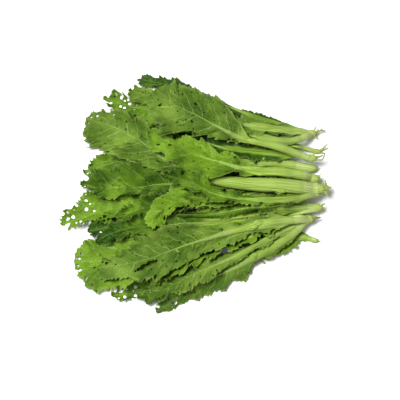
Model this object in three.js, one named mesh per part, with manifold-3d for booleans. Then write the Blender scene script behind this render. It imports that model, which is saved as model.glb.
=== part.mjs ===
// A bunch of young mustard greens, pulled with their roots and laid down: nine plants side by
// side, roots towards +X and leaf tips towards -X, some 300 mm long. Each plant is one solid: a
// root stub, a crown, and leaves whose stalks grow from the crown. The leaves are laid one after
// another, and each one drapes over those below it. Lengths are millimetres and +Z is up.

import * as THREE from 'three';
import Module from 'manifold-3d';

const wasm = await Module();
wasm.setup();

// Driving dimensions
const BLADE_THICKNESS = 0.8; // leaf blade, measured square to its surface
const STEEPEST_BLADE = 2.4; // most height that a steep blade may take up
const RIB_AT_TIP = 1.2; // midrib height where it runs out
const STALK_FLATNESS = 0.8; // stalk height over stalk width
const RIB_FLATNESS = 0.75; // midrib height in a blade, over the same in the stalk
const CLEARANCE = 0.5; // air between one leaf and the next above it
const FUSED_RADIUS = 42; // stalks of one plant grow together this close to the crown
const FLAT_DEPTH = 0.5; // how far the resting side is pressed flat
const CENTRE = { x: 0.3, y: 6.5 }; // middle of the bunch, as laid out below

// Rows of points across a leaf: in the foot of its stalk, in the winged stalk and in the blade
const FOOT_ROWS = 3;
const WING_ROWS = 5;
const BLADE_ROWS = 12;

// Shares of a leaf's length over which its shape changes
const WING_START = 0.08; // wings start here, and grow over the next share
const WING_RISE = 0.14;
const FOOT_WIDTH = 0.9; // stalk width at the crown, over its greatest, which it reaches here
const FOOT_RISE = 0.08;
const TIP_WIDTH = 0.3; // midrib width at the tip, over the stalk's, and where it narrows
const TAPER = { from: 0.1, to: 0.9 };

// Shares of a blade's length over which a stalk becomes a blade and side veins start to lean
const BLADE_RISE = 0.18;
const LEAN_RISE = 0.3;
const SIDE_VEIN_ANGLE = 38; // degrees that side veins lean towards the tip
const TOOTH = 0.12; // how far the cut edge steps in and out, over its width
const WIDEST = 60; // no blade is wider than this on one side
const TIP_HALF_WIDTH = 0.9;
const MOST_STALK = 0.7; // most of a row's width that its stalk takes up
const REACH_ERROR = 0.01;

// Columns across a leaf, from its near edge over the midrib to its far edge, and how high the
// stalk and its wing's root are there, over the stalk's height
const COLUMNS = [-1, -0.5, 0, 0.5, 1];
const MIDDLE = 2;
const STALK_SECTION = { edge: 0.4, shoulder: 0.86, wingRoot: 0.5 };

// A leaf's own form: pleats between side veins, and how its edge's waves turn from row to row,
// leaf to leaf and side to side, in radians
const PLEAT = 1.0;
const WAVE = { byRow: 1.9, byLeaf: 2.3, bySide: 1.1 };
const WING_WAVE = 0.6; // waves on wings, over those on the blade

// How leaves lie: how far from the crown a stalk comes down to the pile, and the steepest slopes
const HELD = { from: 4, to: 90 };
const SLOPE_ALONG = 0.4;
const SLOPE_ACROSS = 0.7;
const SLOPE_PASSES = 3;
const SETTLING_ROUNDS = 5;
const STIFF_PASSES = 4; // more passes let a stalk bridge longer dips
const SHORTEST_STEP = 0.5; // steps between points shorter than this don't count as steep
const FUSED_FOOT = 1.2; // the stalk's end is level with the crown this far out, over its radius

// Rings of a crown: place along over its radius, and size over its radius. Then its root.
const CROWN_RINGS = [[-1.8, 0.5], [-0.9, 0.8], [0, 0.9], [0.8, 0.75]];
const ROOT_RINGS = [[0.1, 0.45], [0.3, 0.25], [1.0, 0.15]];
const CROWN_FLATNESS = 0.9;
const RING_SIDES = 8;

// Grid on which the top of the pile is kept while leaves are laid
const CELL = 1.0;
const FIELD = { x: -175, y: -160, columns: 350, rows: 320 };
const FINEST_STEP = 0.7; // points sampled on a triangle are this close, over a cell
const TABLE = { side: 600, depth: 40 };
const LEAF_ROUGHNESS = 0.55;

// Crowns: place, radius, the root's direction and length, and how far stiff stalks hold the crown
// up off what is below it
const CROWNS = {
  plant_1: { at: [131, 74], radius: 4.6, root: [9, 5], rise: 3, colour: 0x9fb85a },
  plant_2: { at: [138, 54], radius: 3.2, root: [9, 4], rise: 0, colour: 0x8fae4c },
  plant_3: { at: [130, 41], radius: 4.6, root: [9, 3], rise: 7, colour: 0x86a552 },
  plant_4: { at: [131, 33], radius: 5.0, root: [3, 1], rise: 2, colour: 0xa7bf66 },
  plant_5: { at: [133, 19], radius: 5.5, root: [3, -1], rise: 7, colour: 0x98bb49 },
  plant_6: { at: [137, 6], radius: 6.6, root: [8, 2], rise: 11, colour: 0xa3bd4e },
  plant_7: { at: [137, -14], radius: 4.4, root: [3, -1], rise: 7, colour: 0x8db04a },
  plant_8: { at: [126, -27], radius: 5.0, root: [9, 2], rise: 6, colour: 0x7f9f4c },
  plant_9: { at: [134, -50], radius: 2.8, root: [3, -1], rise: 0, colour: 0x93b355 },
};

// Leaves from the bottom of the pile to its top. path: midrib from crown to tip. stalk: share of
// the path before the blade. width: stalk width. wing: width of the frills down both sides of the
// stalk. near, far: half-widths of the blade at even steps towards the tip, on the -Y and the +Y
// side. cup: rise of the edges (+) or of the midrib (-). wave: height of the edge's waves.
const LEAVES = [
  { plant: 'plant_9', path: [[135, -50], [119, -46], [100, -51], [82, -61], [66, -70]], stalk: 0.2,
    width: 6, wing: 2, near: [15, 14, 9], far: [4, 5, 4], cup: 2, wave: 2, rows: 8 },
  { plant: 'plant_8', path: [[123, -29], [94, -44], [39, -70], [-17, -94], [-50, -106],
    [-92, -112]], stalk: 0.45, width: 6, wing: 7, near: [9, 11, 12, 9], far: [12, 16, 18, 12],
    cup: 3, wave: 5 },
  { plant: 'plant_8', path: [[123, -29], [111, -42], [98, -52], [80, -63], [57, -76], [33, -87],
    [-8, -107], [-42, -131]], stalk: 0.33, width: 9, wing: 3, near: [14, 17, 13, 8],
    far: [10, 17, 18, 12], cup: -4, wave: 3 },
  { plant: 'plant_7', path: [[137, -14], [88, -15], [22, -32], [-39, -50], [-94, -57]], stalk: 0.45,
    width: 5, wing: 8, near: [11, 15, 16, 12], far: [11, 15, 16, 12], cup: 2, wave: 2 },
  { plant: 'plant_7', path: [[136, -16], [112, -21], [91, -24], [39, -37], [-28, -57], [-88, -72],
    [-134, -74]], stalk: 0.48, width: 7, wing: 8, near: [13, 24, 32, 33], far: [12, 20, 27, 28],
    cup: -4, wave: 4 },
  { plant: 'plant_6', path: [[136, 3], [112, -1], [88, -5], [17, -18], [-50, -27], [-94, -34],
    [-120, -39]], stalk: 0.5, width: 5, wing: 8, near: [11, 18, 20, 14], far: [10, 16, 18, 14],
    cup: 2, wave: 2 },
  { plant: 'plant_4', path: [[131, 33], [86, 31], [6, 31], [-50, 36], [-100, 33]], stalk: 0.45,
    width: 6, wing: 10, near: [11, 15, 16, 12], far: [11, 15, 16, 12], cup: 2, wave: 2 },
  { plant: 'plant_2', path: [[137, 54], [90, 65], [30, 70], [-39, 72], [-85, 78]], stalk: 0.45,
    width: 4, wing: 7, near: [10, 14, 16, 12], far: [10, 14, 16, 12], cup: 2, wave: 2 },
  { plant: 'plant_8', path: [[124, -29], [98, -42], [50, -68], [6, -88], [-26, -104], [-54, -121]],
    stalk: 0.4, width: 6, wing: 3, near: [9, 12, 13, 8], far: [14, 23, 24, 15], cup: -4, wave: 3 },
  { plant: 'plant_6', path: [[136, 6], [112, 4], [88, 3], [20, -6], [-50, -9], [-100, -15],
    [-150, -31]], stalk: 0.55, width: 6, wing: 10, near: [11, 17, 17, 11], far: [12, 18, 27, 17],
    cup: 3, wave: 3 },
  { plant: 'plant_7', path: [[136, -15], [112, -17], [80, -24], [17, -31], [-39, -35], [-78, -40],
    [-110, -53]], stalk: 0.45, width: 5, wing: 6, near: [9, 11, 12, 9], far: [10, 14, 16, 10],
    cup: -3, wave: 2 },
  { plant: 'plant_4', path: [[131, 33], [86, 39], [17, 40], [-39, 43], [-78, 42], [-126, 30]],
    stalk: 0.45, width: 11, wing: 4, near: [9, 14, 18, 18, 16], far: [10, 15, 17, 16, 10], cup: 3,
    wave: 5 },
  { plant: 'plant_3', path: [[129, 42], [86, 48], [22, 60], [-33, 80], [-67, 99]], stalk: 0.42,
    width: 5, wing: 10, near: [10, 17, 18, 12], far: [10, 17, 18, 12], cup: 2, wave: 2 },
  { plant: 'plant_2', path: [[137, 54], [116, 57], [61, 65], [6, 80], [-50, 100], [-105, 118]],
    stalk: 0.5, width: 5.5, wing: 5, near: [11, 19, 21, 16], far: [9, 14, 15, 12], cup: 2,
    wave: 5 },
  { plant: 'plant_1', path: [[131, 72], [114, 62], [94, 60], [50, 76], [-6, 98], [-76, 126]],
    stalk: 0.5, width: 7, wing: 5, near: [10, 18, 19, 14], far: [9, 14, 15, 12], cup: 2, wave: 4 },
  { plant: 'plant_1', path: [[131, 74], [100, 84], [61, 97], [22, 112], [-22, 130], [-66, 139]],
    stalk: 0.3, width: 5, wing: 3, near: [9, 11, 11, 9], far: [4, 8, 11, 10], cup: -7, wave: 3 },
  { plant: 'plant_1', path: [[131, 74], [116, 74], [84, 75], [44, 83], [11, 95], [-17, 109]],
    stalk: 0.38, width: 9, wing: 5, near: [9, 14, 15, 10], far: [9, 14, 15, 10], cup: 3, wave: 4 },
  { plant: 'plant_5', path: [[133, 19], [88, 14], [22, 14], [-22, 19], [-52, 26], [-77, 42]],
    stalk: 0.45, width: 5, wing: 6, near: [8, 12, 13, 9], far: [9, 12, 14, 10], cup: 3, wave: 3 },
  { plant: 'plant_6', path: [[136, 10], [112, 11], [90, 11], [22, 10], [-29, 14], [-72, 10],
    [-105, 9], [-129, 17]], stalk: 0.5, width: 6, wing: 4, near: [8, 11, 13, 11],
    far: [12, 20, 26, 21], cup: 2, wave: 5 },
  { plant: 'plant_7', path: [[136, -12], [112, -10], [90, -9], [17, -9], [-33, -11], [-61, -17],
    [-88, -27]], stalk: 0.5, width: 5, wing: 5, near: [7, 11, 12, 9], far: [7, 11, 12, 9], cup: 3,
    wave: 4 },
  { plant: 'plant_7', path: [[138, -14], [94, -17], [44, -11], [-5, -7], [-30, -16], [-47, -42]],
    stalk: 0.5, width: 7, wing: 4, near: [6, 9, 10, 7], far: [8, 15, 18, 14], cup: -4, wave: 3 },
  { plant: 'plant_6', path: [[135, 1], [112, -9], [83, -17], [50, -20], [11, -24], [-19, -25]],
    stalk: 0.35, width: 5, wing: 1, near: [4, 5, 5, 4], far: [4, 5, 5, 4], cup: -5, wave: 1 },
  { plant: 'plant_8', path: [[125, -28], [90, -35], [50, -50], [11, -62], [-19, -78], [-47, -100]],
    stalk: 0.42, width: 6, wing: 7, near: [10, 14, 14, 10], far: [9, 13, 15, 11], cup: 3, wave: 4 },
  { plant: 'plant_6', path: [[135, 2], [112, -6], [90, -12], [50, -10], [17, -7], [-14, -3]],
    stalk: 0.4, width: 5, wing: 5, near: [6, 8, 8, 6], far: [6, 8, 8, 6], cup: 2, wave: 4,
    rows: 10 },
  { plant: 'plant_5', path: [[133, 19], [88, 23], [50, 28], [22, 35], [-5, 49], [-25, 62],
    [-42, 76]], stalk: 0.42, width: 6, wing: 4, near: [6, 8, 9, 6], far: [8, 11, 12, 9], cup: 5,
    wave: 4 },
  { plant: 'plant_6', path: [[137, 6], [114, 5], [74, 7], [28, 14], [-13, 26], [-39, 43], [-64, 64],
    [-90, 80], [-124, 93]], stalk: 0.42, width: 16, wing: 0, near: [9, 15, 26, 34, 34],
    far: [10, 17, 21, 20, 17], cup: -4, wave: 4 },
  { plant: 'plant_5', path: [[133, 20], [100, 22], [68, 24], [40, 32], [17, 40], [-13, 51],
    [-36, 60], [-52, 70]], stalk: 0.3, width: 11, wing: 0, near: [11, 21, 27, 27, 17],
    far: [8, 13, 15, 13, 8], cup: 3, wave: 4 },
  { plant: 'plant_6', path: [[137, 0], [105, -11], [61, -12], [22, -2], [-6, 11], [-34, 20]],
    stalk: 0.35, width: 6, wing: 3, near: [6, 9, 11, 9], far: [6, 8, 10, 9], cup: 2, wave: 5 },
  { plant: 'plant_8', path: [[126, -28], [112, -30], [61, -39], [7, -54], [-40, -70], [-72, -79],
    [-107, -83]], stalk: 0.3, width: 9, wing: 7, near: [12, 18, 22, 25, 18],
    far: [10, 24, 28, 25, 16], cup: -5, wave: 4 },
  { plant: 'plant_3', path: [[131, 40], [105, 47], [78, 55], [56, 61], [38, 68], [19, 79], [0, 89],
    [-18, 98], [-32, 110], [-45, 125]], stalk: 0.37, width: 8.5, wing: 0, near: [5, 12, 30, 40, 26],
    far: [20, 28, 31, 33, 26], cup: -4, wave: 5 },
];

const clamp = (value, low, high) => Math.min(high, Math.max(low, value));
const mix = (a, b, share) => a + (b - a) * share;
const radians = THREE.MathUtils.degToRad;
const smooth = THREE.MathUtils.smoothstep;

// The height of the pile's top, cell by cell
class HeightMap {
  constructor() {
    this.heights = new Float32Array(FIELD.columns * FIELD.rows);
  }

  index(x, y) {
    const column = clamp(Math.round((x - FIELD.x) / CELL), 0, FIELD.columns - 1);
    const row = clamp(Math.round((y - FIELD.y) / CELL), 0, FIELD.rows - 1);
    return row * FIELD.columns + column;
  }

  raise(x, y, z) {
    const cell = this.index(x, y);
    this.heights[cell] = Math.max(this.heights[cell], z);
  }

  at(x, y) {
    return this.heights[this.index(x, y)];
  }
}

// The highest of several maps, each cell spread to its neighbours
function spread(maps) {
  const top = new HeightMap();
  const { columns, rows } = FIELD;
  for (const heights of maps) {
    for (let row = 1; row < rows - 1; row += 1) {
      for (let column = 1; column < columns - 1; column += 1) {
        const height = heights[row * columns + column];
        if (height === 0) continue;
        for (let down = -1; down <= 1; down += 1) {
          for (let along = -1; along <= 1; along += 1) {
            const cell = (row + down) * columns + column + along;
            top.heights[cell] = Math.max(top.heights[cell], height);
          }
        }
      }
    }
  }
  return top;
}

// A height map for each plant, so that a leaf can tell its own plant's leaves from the others'
const pile = Object.fromEntries(Object.keys(CROWNS).map((name) => [name, new HeightMap()]));

// What a leaf of this plant must lie above: all other plants, and its own away from the crown
function supportFor(plant) {
  const [crownX, crownY] = CROWNS[plant].at;
  const maps = [];
  for (const [name, map] of Object.entries(pile)) {
    if (name !== plant) {
      maps.push(map.heights);
      continue;
    }
    const away = map.heights.map((height, cell) => {
      const x = FIELD.x + (cell % FIELD.columns) * CELL;
      const y = FIELD.y + Math.floor(cell / FIELD.columns) * CELL;
      return Math.hypot(x - crownX, y - crownY) > FUSED_RADIUS ? height : 0;
    });
    maps.push(away);
  }
  return spread(maps);
}

// Visits points of a triangle that are no further apart than a cell
function sample(a, b, c, visit) {
  const longest = Math.max(a.distanceTo(b), b.distanceTo(c), c.distanceTo(a));
  const steps = Math.max(1, Math.ceil(longest / (CELL * FINEST_STEP)));
  for (let i = 0; i <= steps; i += 1) {
    for (let j = 0; j <= steps - i; j += 1) {
      const u = i / steps;
      const v = j / steps;
      const w = 1 - u - v;
      visit(a.x * w + b.x * u + c.x * v, a.y * w + b.y * u + c.y * v, a.z * w + b.z * u + c.z * v);
    }
  }
}

// Half-width of a blade at a share of its length, through evenly spaced values and zero at the tip
function halfWidth(values, start, share) {
  const stations = [start, ...values, 0];
  const place = clamp(share, 0, 1) * (stations.length - 1);
  const low = Math.min(Math.floor(place), stations.length - 2);
  const t = place - low;
  if (low === stations.length - 2) return stations[low] * Math.sqrt(1 - t * t);
  return mix(stations[low], stations[low + 1], (smooth(t, 0, 1) + t) / 2);
}

function stalkWidth(leaf, share) {
  const foot = mix(FOOT_WIDTH, 1, smooth(share, 0, FOOT_RISE));
  return leaf.width * foot * mix(1, TIP_WIDTH, smooth(share, TAPER.from, TAPER.to));
}

const wingShare = (share) => smooth(share, WING_START, WING_START + WING_RISE);

const bladeShare = (leaf, share) => clamp((share - leaf.stalk) / (1 - leaf.stalk), 0, 1);

// Half-width of the whole leaf on one side, at a share of its length
function outline(leaf, values, share) {
  const start = stalkWidth(leaf, share) / 2 + leaf.wing * wingShare(share);
  return share <= leaf.stalk ? start : halfWidth(values, start, bladeShare(leaf, share));
}

// How far a row reaches on one side, following side veins that lean towards the tip
function reachOf(leaf, values, share, lean, length) {
  const slant = Math.tan(lean) / length;
  let low = 0;
  let high = WIDEST;
  while (high - low > REACH_ERROR) {
    const middle = (low + high) / 2;
    if (outline(leaf, values, share + middle * slant) > middle) low = middle;
    else high = middle;
  }
  return Math.max(low, TIP_HALF_WIDTH);
}

// Shares from one to another, without the last
function* evenSteps(from, to, count) {
  for (let i = 0; i < count; i += 1) {
    yield mix(from, to, i / count);
  }
}

// The leaf in plan: rows of points across it, each with its place along the leaf
function leafRows(leaf, number) {
  const points = leaf.path.map(([x, y]) => new THREE.Vector3(x, y, 0));
  const curve = new THREE.CatmullRomCurve3(points, false, 'centripetal');
  const length = curve.getLength();
  const shares = [
    ...evenSteps(0, WING_START, FOOT_ROWS),
    ...evenSteps(WING_START, leaf.stalk, WING_ROWS),
    ...evenSteps(leaf.stalk, 1, leaf.rows ?? BLADE_ROWS),
    1,
  ];
  return shares.map((share, row) => {
    const centre = curve.getPointAt(share);
    const forward = curve.getTangentAt(share);
    const far = new THREE.Vector3(forward.y, -forward.x, 0);
    const inBlade = bladeShare(leaf, share);
    const bladeness = smooth(inBlade, 0, BLADE_RISE);
    const thin = Math.max(bladeness, leaf.wing > 0 ? wingShare(share) : 0);
    const lean = radians(SIDE_VEIN_ANGLE) * smooth(inBlade, 0, LEAN_RISE);
    const stalkHalf = stalkWidth(leaf, share) / 2;
    const step = (row % 2 === 0 ? TOOTH : -TOOTH) * thin;
    const across = COLUMNS.map((column) => {
      const values = column < 0 ? leaf.near : leaf.far;
      const reach = reachOf(leaf, values, share, lean, length) * (1 + step);
      const inner = mix(Math.min(stalkHalf, reach * MOST_STALK), reach / 2, bladeness);
      const half = Math.abs(column) === 1 ? reach : inner * Math.abs(column) * 2;
      const side = far.clone().multiplyScalar(half * Math.sign(column));
      return centre.clone().add(side).addScaledVector(forward, half * Math.tan(lean));
    });
    return {
      share, bladeness, thin, stalkWidth: stalkHalf * 2, across, distance: share * length, row, number,
    };
  });
}

// How thick a row is at each column: a round stalk, with or without wings, that thins to a blade
function thickness(row, column) {
  const rib = Math.max(
    row.stalkWidth * STALK_FLATNESS * mix(1, RIB_FLATNESS, row.bladeness),
    RIB_AT_TIP,
  );
  const edge = Math.abs(COLUMNS[column]);
  if (edge === 0) return rib;
  if (edge === 1) return mix(rib * STALK_SECTION.edge, BLADE_THICKNESS, row.thin);
  const shoulder = mix(STALK_SECTION.shoulder, STALK_SECTION.wingRoot, row.thin);
  return mix(rib * shoulder, BLADE_THICKNESS, row.bladeness);
}

// Height of the leaf's own form above the line that it lies on: cupping, waves and pleats
function ownForm(leaf, row, column) {
  const edge = Math.abs(COLUMNS[column]);
  const side = Math.sign(COLUMNS[column]);
  const cup = leaf.cup >= 0 ? leaf.cup * edge * edge : -leaf.cup * (1 - edge * edge);
  const turn = row.row * WAVE.byRow + row.number * WAVE.byLeaf + side * WAVE.bySide;
  const wave = leaf.wave * edge * edge * (0.5 + 0.5 * Math.sin(turn));
  const pleat = edge === 0.5 && row.row % 2 === 0 ? PLEAT : 0;
  return row.bladeness * (cup + pleat) + Math.max(row.bladeness, row.thin * WING_WAVE) * wave;
}

// Raises each height until no neighbour stands more than a set slope above it
function limitSlopes(rows, heights) {
  const pull = (i, j, m, n, slope) => {
    const gap = rows[i].across[j].distanceTo(rows[m].across[n]);
    heights[i][j] = Math.max(heights[i][j], heights[m][n] - slope * gap);
  };
  for (let pass = 0; pass < SLOPE_PASSES; pass += 1) {
    for (let i = 0; i < rows.length; i += 1) {
      for (let j = 0; j < COLUMNS.length; j += 1) {
        if (i > 0) pull(i, j, i - 1, j, SLOPE_ALONG);
        if (j > 0) pull(i, j, i, j - 1, SLOPE_ACROSS);
      }
    }
    for (let i = rows.length - 1; i >= 0; i -= 1) {
      for (let j = COLUMNS.length - 1; j >= 0; j -= 1) {
        if (i < rows.length - 1) pull(i, j, i + 1, j, SLOPE_ALONG);
        if (j < COLUMNS.length - 1) pull(i, j, i, j + 1, SLOPE_ACROSS);
      }
    }
  }
}

// Where each point of a leaf would lie: blades and wings follow the support, stalks span it
function restingHeights(rows, thick, support) {
  const lies = rows.map((row, i) => COLUMNS.map((_, j) => {
    const { x, y } = row.across[j];
    return support.at(x, y) + (support.at(x, y) > 0 ? CLEARANCE : 0) + thick[i][j] / 2;
  }));
  rows.forEach((row, i) => {
    const highest = Math.max(...lies[i]);
    const stalkRest = mix(highest, Math.max(...lies[i].slice(1, -1)), row.thin);
    lies[i] = lies[i].map((height, j) => {
      const isEdge = Math.abs(COLUMNS[j]) === 1;
      return isEdge ? mix(highest, height, row.thin) : mix(stalkRest, height, row.bladeness);
    });
  });
  limitSlopes(rows, lies);
  return lies;
}

// Lets a stiff stalk bridge the dips between what it lies on
function bridgeDips(rows, heights) {
  for (let pass = 0; pass < STIFF_PASSES; pass += 1) {
    for (let i = 1; i < rows.length - 1; i += 1) {
      const step = (rows[i].share - rows[i - 1].share) / (rows[i + 1].share - rows[i - 1].share);
      const between = mix(heights[i - 1][MIDDLE], heights[i + 1][MIDDLE], step);
      const raise = Math.max(between - heights[i][MIDDLE], 0) * (1 - rows[i].bladeness);
      heights[i] = heights[i].map((height) => height + raise);
    }
  }
}

// The middle surface of a leaf, laid on its support: a height for each row and column
function drape(leaf, rows, crownHeight) {
  const support = supportFor(leaf.plant);
  const thick = rows.map((row) => COLUMNS.map((_, j) => thickness(row, j)));
  const lies = restingHeights(rows, thick, support);
  const heights = rows.map((row, i) => {
    const held = mix(crownHeight, 0, smooth(row.distance, HELD.from, HELD.to));
    return lies[i].map((height) => Math.max(height, held));
  });
  bridgeDips(rows, heights);
  rows.forEach((row, i) => {
    heights[i] = heights[i].map((height, j) => height + ownForm(leaf, row, j));
  });
  for (let round = 0; round < SETTLING_ROUNDS; round += 1) {
    rows.forEach((row, i) => {
      if (i === 0) return;
      COLUMNS.forEach((_, j) => {
        const blade = BLADE_THICKNESS * Math.hypot(1, steepness(rows, heights, i, j));
        thick[i][j] = Math.max(thick[i][j], Math.min(blade, STEEPEST_BLADE) * row.thin);
      });
    });
    liftClear(rows, heights, thick, support);
  }
  rows.forEach((row, i) => {
    if (row.distance > CROWNS[leaf.plant].radius * FUSED_FOOT) return;
    heights[i] = heights[i].map(() => crownHeight);
  });
  return { heights, thick };
}

// The steepest rise from one point of a leaf to its neighbours
function steepness(rows, heights, i, j) {
  let steepest = 0;
  for (const [m, n] of [[i - 1, j], [i + 1, j], [i, j - 1], [i, j + 1]]) {
    if (m < 1 || m >= rows.length || n < 0 || n >= COLUMNS.length) continue;
    const gap = Math.max(rows[i].across[j].distanceTo(rows[m].across[n]), SHORTEST_STEP);
    steepest = Math.max(steepest, Math.abs(heights[i][j] - heights[m][n]) / gap);
  }
  return steepest;
}

// The two triangles of each cell of a leaf, as row and column pairs
function* cellTriangles(rows) {
  for (let i = 0; i < rows.length - 1; i += 1) {
    for (let j = 0; j < COLUMNS.length - 1; j += 1) {
      if (j < MIDDLE) {
        yield [[i, j], [i + 1, j], [i, j + 1]];
        yield [[i + 1, j], [i + 1, j + 1], [i, j + 1]];
      } else {
        yield [[i, j], [i + 1, j], [i + 1, j + 1]];
        yield [[i, j], [i + 1, j + 1], [i, j + 1]];
      }
    }
  }
}

// Lifts the corners of each triangle whose underside cuts into the support
function liftClear(rows, heights, thick, support) {
  const lifts = rows.map(() => COLUMNS.map(() => 0));
  for (const corners of cellTriangles(rows)) {
    const [a, b, c] = corners.map(([i, j]) => {
      const { x, y } = rows[i].across[j];
      return new THREE.Vector3(x, y, heights[i][j] - thick[i][j] / 2);
    });
    let lift = 0;
    sample(a, b, c, (x, y, z) => {
      const top = support.at(x, y);
      if (top > 0) lift = Math.max(lift, top + CLEARANCE - z);
      else lift = Math.max(lift, -z);
    });
    for (const [i, j] of corners) lifts[i][j] = Math.max(lifts[i][j], lift);
  }
  rows.forEach((_, i) => {
    heights[i] = heights[i].map((height, j) => height + lifts[i][j]);
  });
}

// Adds a leaf's top to its plant's height map
function recordTop(plant, rows, heights, thick) {
  for (const corners of cellTriangles(rows)) {
    const [a, b, c] = corners.map(([i, j]) => {
      const { x, y } = rows[i].across[j];
      return new THREE.Vector3(x, y, heights[i][j] + thick[i][j] / 2);
    });
    sample(a, b, c, (x, y, z) => pile[plant].raise(x, y, z));
  }
}

// A closed mesh from its corner points and triangles, as a solid
function solid(points, triangles) {
  const vertProperties = new Float32Array(points.flatMap((point) => [point.x, point.y, point.z]));
  const triVerts = new Uint32Array(triangles.flat());
  return new wasm.Manifold(new wasm.Mesh({ numProp: 3, vertProperties, triVerts }));
}

// The leaf as a solid: top and underside split into the same triangles, and a rim round them
function leafSolid(rows, heights, thick) {
  const width = COLUMNS.length;
  const count = rows.length * width;
  const points = [];
  for (const sign of [1, -1]) {
    rows.forEach((row, i) => row.across.forEach(({ x, y }, j) => {
      points.push(new THREE.Vector3(x, y, heights[i][j] + (sign * thick[i][j]) / 2));
    }));
  }
  const top = ([i, j]) => i * width + j;
  const under = (place) => top(place) + count;
  const triangles = [];
  for (const [a, b, c] of cellTriangles(rows)) {
    triangles.push([top(a), top(c), top(b)], [under(a), under(b), under(c)]);
  }
  const border = [];
  for (let j = 0; j < width; j += 1) border.push([0, j]);
  for (let i = 1; i < rows.length; i += 1) border.push([i, width - 1]);
  for (let j = width - 2; j >= 0; j -= 1) border.push([rows.length - 1, j]);
  for (let i = rows.length - 2; i > 0; i -= 1) border.push([i, 0]);
  border.forEach((place, k) => {
    const next = border[(k + 1) % border.length];
    triangles.push([top(place), under(place), under(next)], [top(place), under(next), top(next)]);
  });
  return solid(points, triangles);
}

// A crown and its root: rings of points along a line that narrows to a cut tail
function crownRings(crown) {
  const [rootX, rootY] = crown.root;
  const stations = [
    ...CROWN_RINGS.map(([step, size]) => ({ x: step * crown.radius, y: 0, size })),
    ...ROOT_RINGS.map(([step, size]) => ({ x: crown.radius + rootX * step, y: rootY * step, size })),
  ];
  return stations.map(({ x, y, size }) => {
    const ring = [];
    for (let k = 0; k < RING_SIDES; k += 1) {
      const angle = (2 * Math.PI * (k + 0.5)) / RING_SIDES;
      ring.push(new THREE.Vector3(
        crown.at[0] + x,
        crown.at[1] + y + Math.cos(angle) * crown.radius * size,
        Math.sin(angle) * crown.radius * size * CROWN_FLATNESS,
      ));
    }
    return ring;
  });
}

// The crown's height above the table, clear of what is already there
function crownHeightOn(plant, rings) {
  const support = supportFor(plant);
  let height = 0;
  for (const point of rings.flat()) {
    const top = support.at(point.x, point.y);
    height = Math.max(height, top + (top > 0 ? CLEARANCE : 0) - point.z);
  }
  return height + CROWNS[plant].rise;
}

// The crown as a solid, also added to the plant's height map
function crownSolid(plant, rings, height) {
  const sides = rings[0].length;
  const points = rings.flat().map((point) => point.clone().setZ(point.z + height));
  const triangles = [];
  for (let i = 0; i < rings.length - 1; i += 1) {
    for (let k = 0; k < sides; k += 1) {
      const a = i * sides + k;
      const b = i * sides + ((k + 1) % sides);
      triangles.push([a, a + sides, b], [b, a + sides, b + sides]);
    }
  }
  const last = (rings.length - 1) * sides;
  for (let k = 1; k < sides - 1; k += 1) {
    triangles.push([0, k, k + 1], [last, last + k + 1, last + k]);
  }
  for (const corners of triangles) {
    sample(...corners.map((corner) => points[corner]), (x, y, z) => pile[plant].raise(x, y, z));
  }
  const body = solid(points, triangles);
  return body.volume() > 0 ? body : solid(points, triangles.map(([a, b, c]) => [a, c, b]));
}

// Everything below the table's top, cut away to press the bunch's resting side flat
function belowTable() {
  const box = new THREE.BoxGeometry(TABLE.side, TABLE.side, TABLE.depth);
  const place = box.getAttribute('position');
  const corners = [];
  const found = new Map();
  const shared = [];
  for (let k = 0; k < place.count; k += 1) {
    const corner = new THREE.Vector3().fromBufferAttribute(place, k);
    corner.z -= TABLE.depth / 2;
    const key = corner.toArray().join();
    if (!found.has(key)) found.set(key, corners.push(corner) - 1);
    shared.push(found.get(key));
  }
  const index = box.getIndex().array;
  const triangles = [];
  for (let k = 0; k < index.length; k += 3) {
    triangles.push([shared[index[k]], shared[index[k + 1]], shared[index[k + 2]]]);
  }
  return solid(corners, triangles);
}

// The largest body of a solid, without loose scraps or sealed pockets
function largest(body) {
  const bodies = body.decompose();
  return bodies.reduce((best, each) => (each.volume() > best.volume() ? each : best));
}

// A plant's solid as a mesh of the bunch
function plantMesh(name, body) {
  const { numProp, vertProperties, triVerts } = body.getMesh();
  const position = new Float32Array((vertProperties.length / numProp) * 3);
  for (let k = 0; k < position.length / 3; k += 1) {
    position[k * 3] = vertProperties[k * numProp] - CENTRE.x;
    position[k * 3 + 1] = vertProperties[k * numProp + 1] - CENTRE.y;
    position[k * 3 + 2] = vertProperties[k * numProp + 2];
  }
  const geometry = new THREE.BufferGeometry();
  geometry.setAttribute('position', new THREE.BufferAttribute(position, 3));
  geometry.setIndex(new THREE.BufferAttribute(new Uint32Array(triVerts), 1));
  geometry.computeVertexNormals();
  const leafGreen = new THREE.MeshStandardMaterial({
    color: CROWNS[name].colour,
    roughness: LEAF_ROUGHNESS,
    metalness: 0,
  });
  const mesh = new THREE.Mesh(geometry, leafGreen);
  mesh.name = name;
  return mesh;
}

function buildBunch() {
  const crownHeights = {};
  const bodies = {};
  LEAVES.forEach((leaf, number) => {
    const { plant } = leaf;
    if (!(plant in bodies)) {
      const rings = crownRings(CROWNS[plant]);
      crownHeights[plant] = crownHeightOn(plant, rings);
      bodies[plant] = crownSolid(plant, rings, crownHeights[plant]);
    }
    const rows = leafRows(leaf, number);
    const { heights, thick } = drape(leaf, rows, crownHeights[plant]);
    recordTop(plant, rows, heights, thick);
    bodies[plant] = bodies[plant].add(leafSolid(rows, heights, thick));
  });
  const table = belowTable();
  const bunch = new THREE.Group();
  for (const name of Object.keys(CROWNS)) {
    const pressed = bodies[name].translate([0, 0, -FLAT_DEPTH]).subtract(table);
    bunch.add(plantMesh(name, largest(pressed)));
  }
  return bunch;
}

const bunch = buildBunch();

export default bunch;
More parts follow.
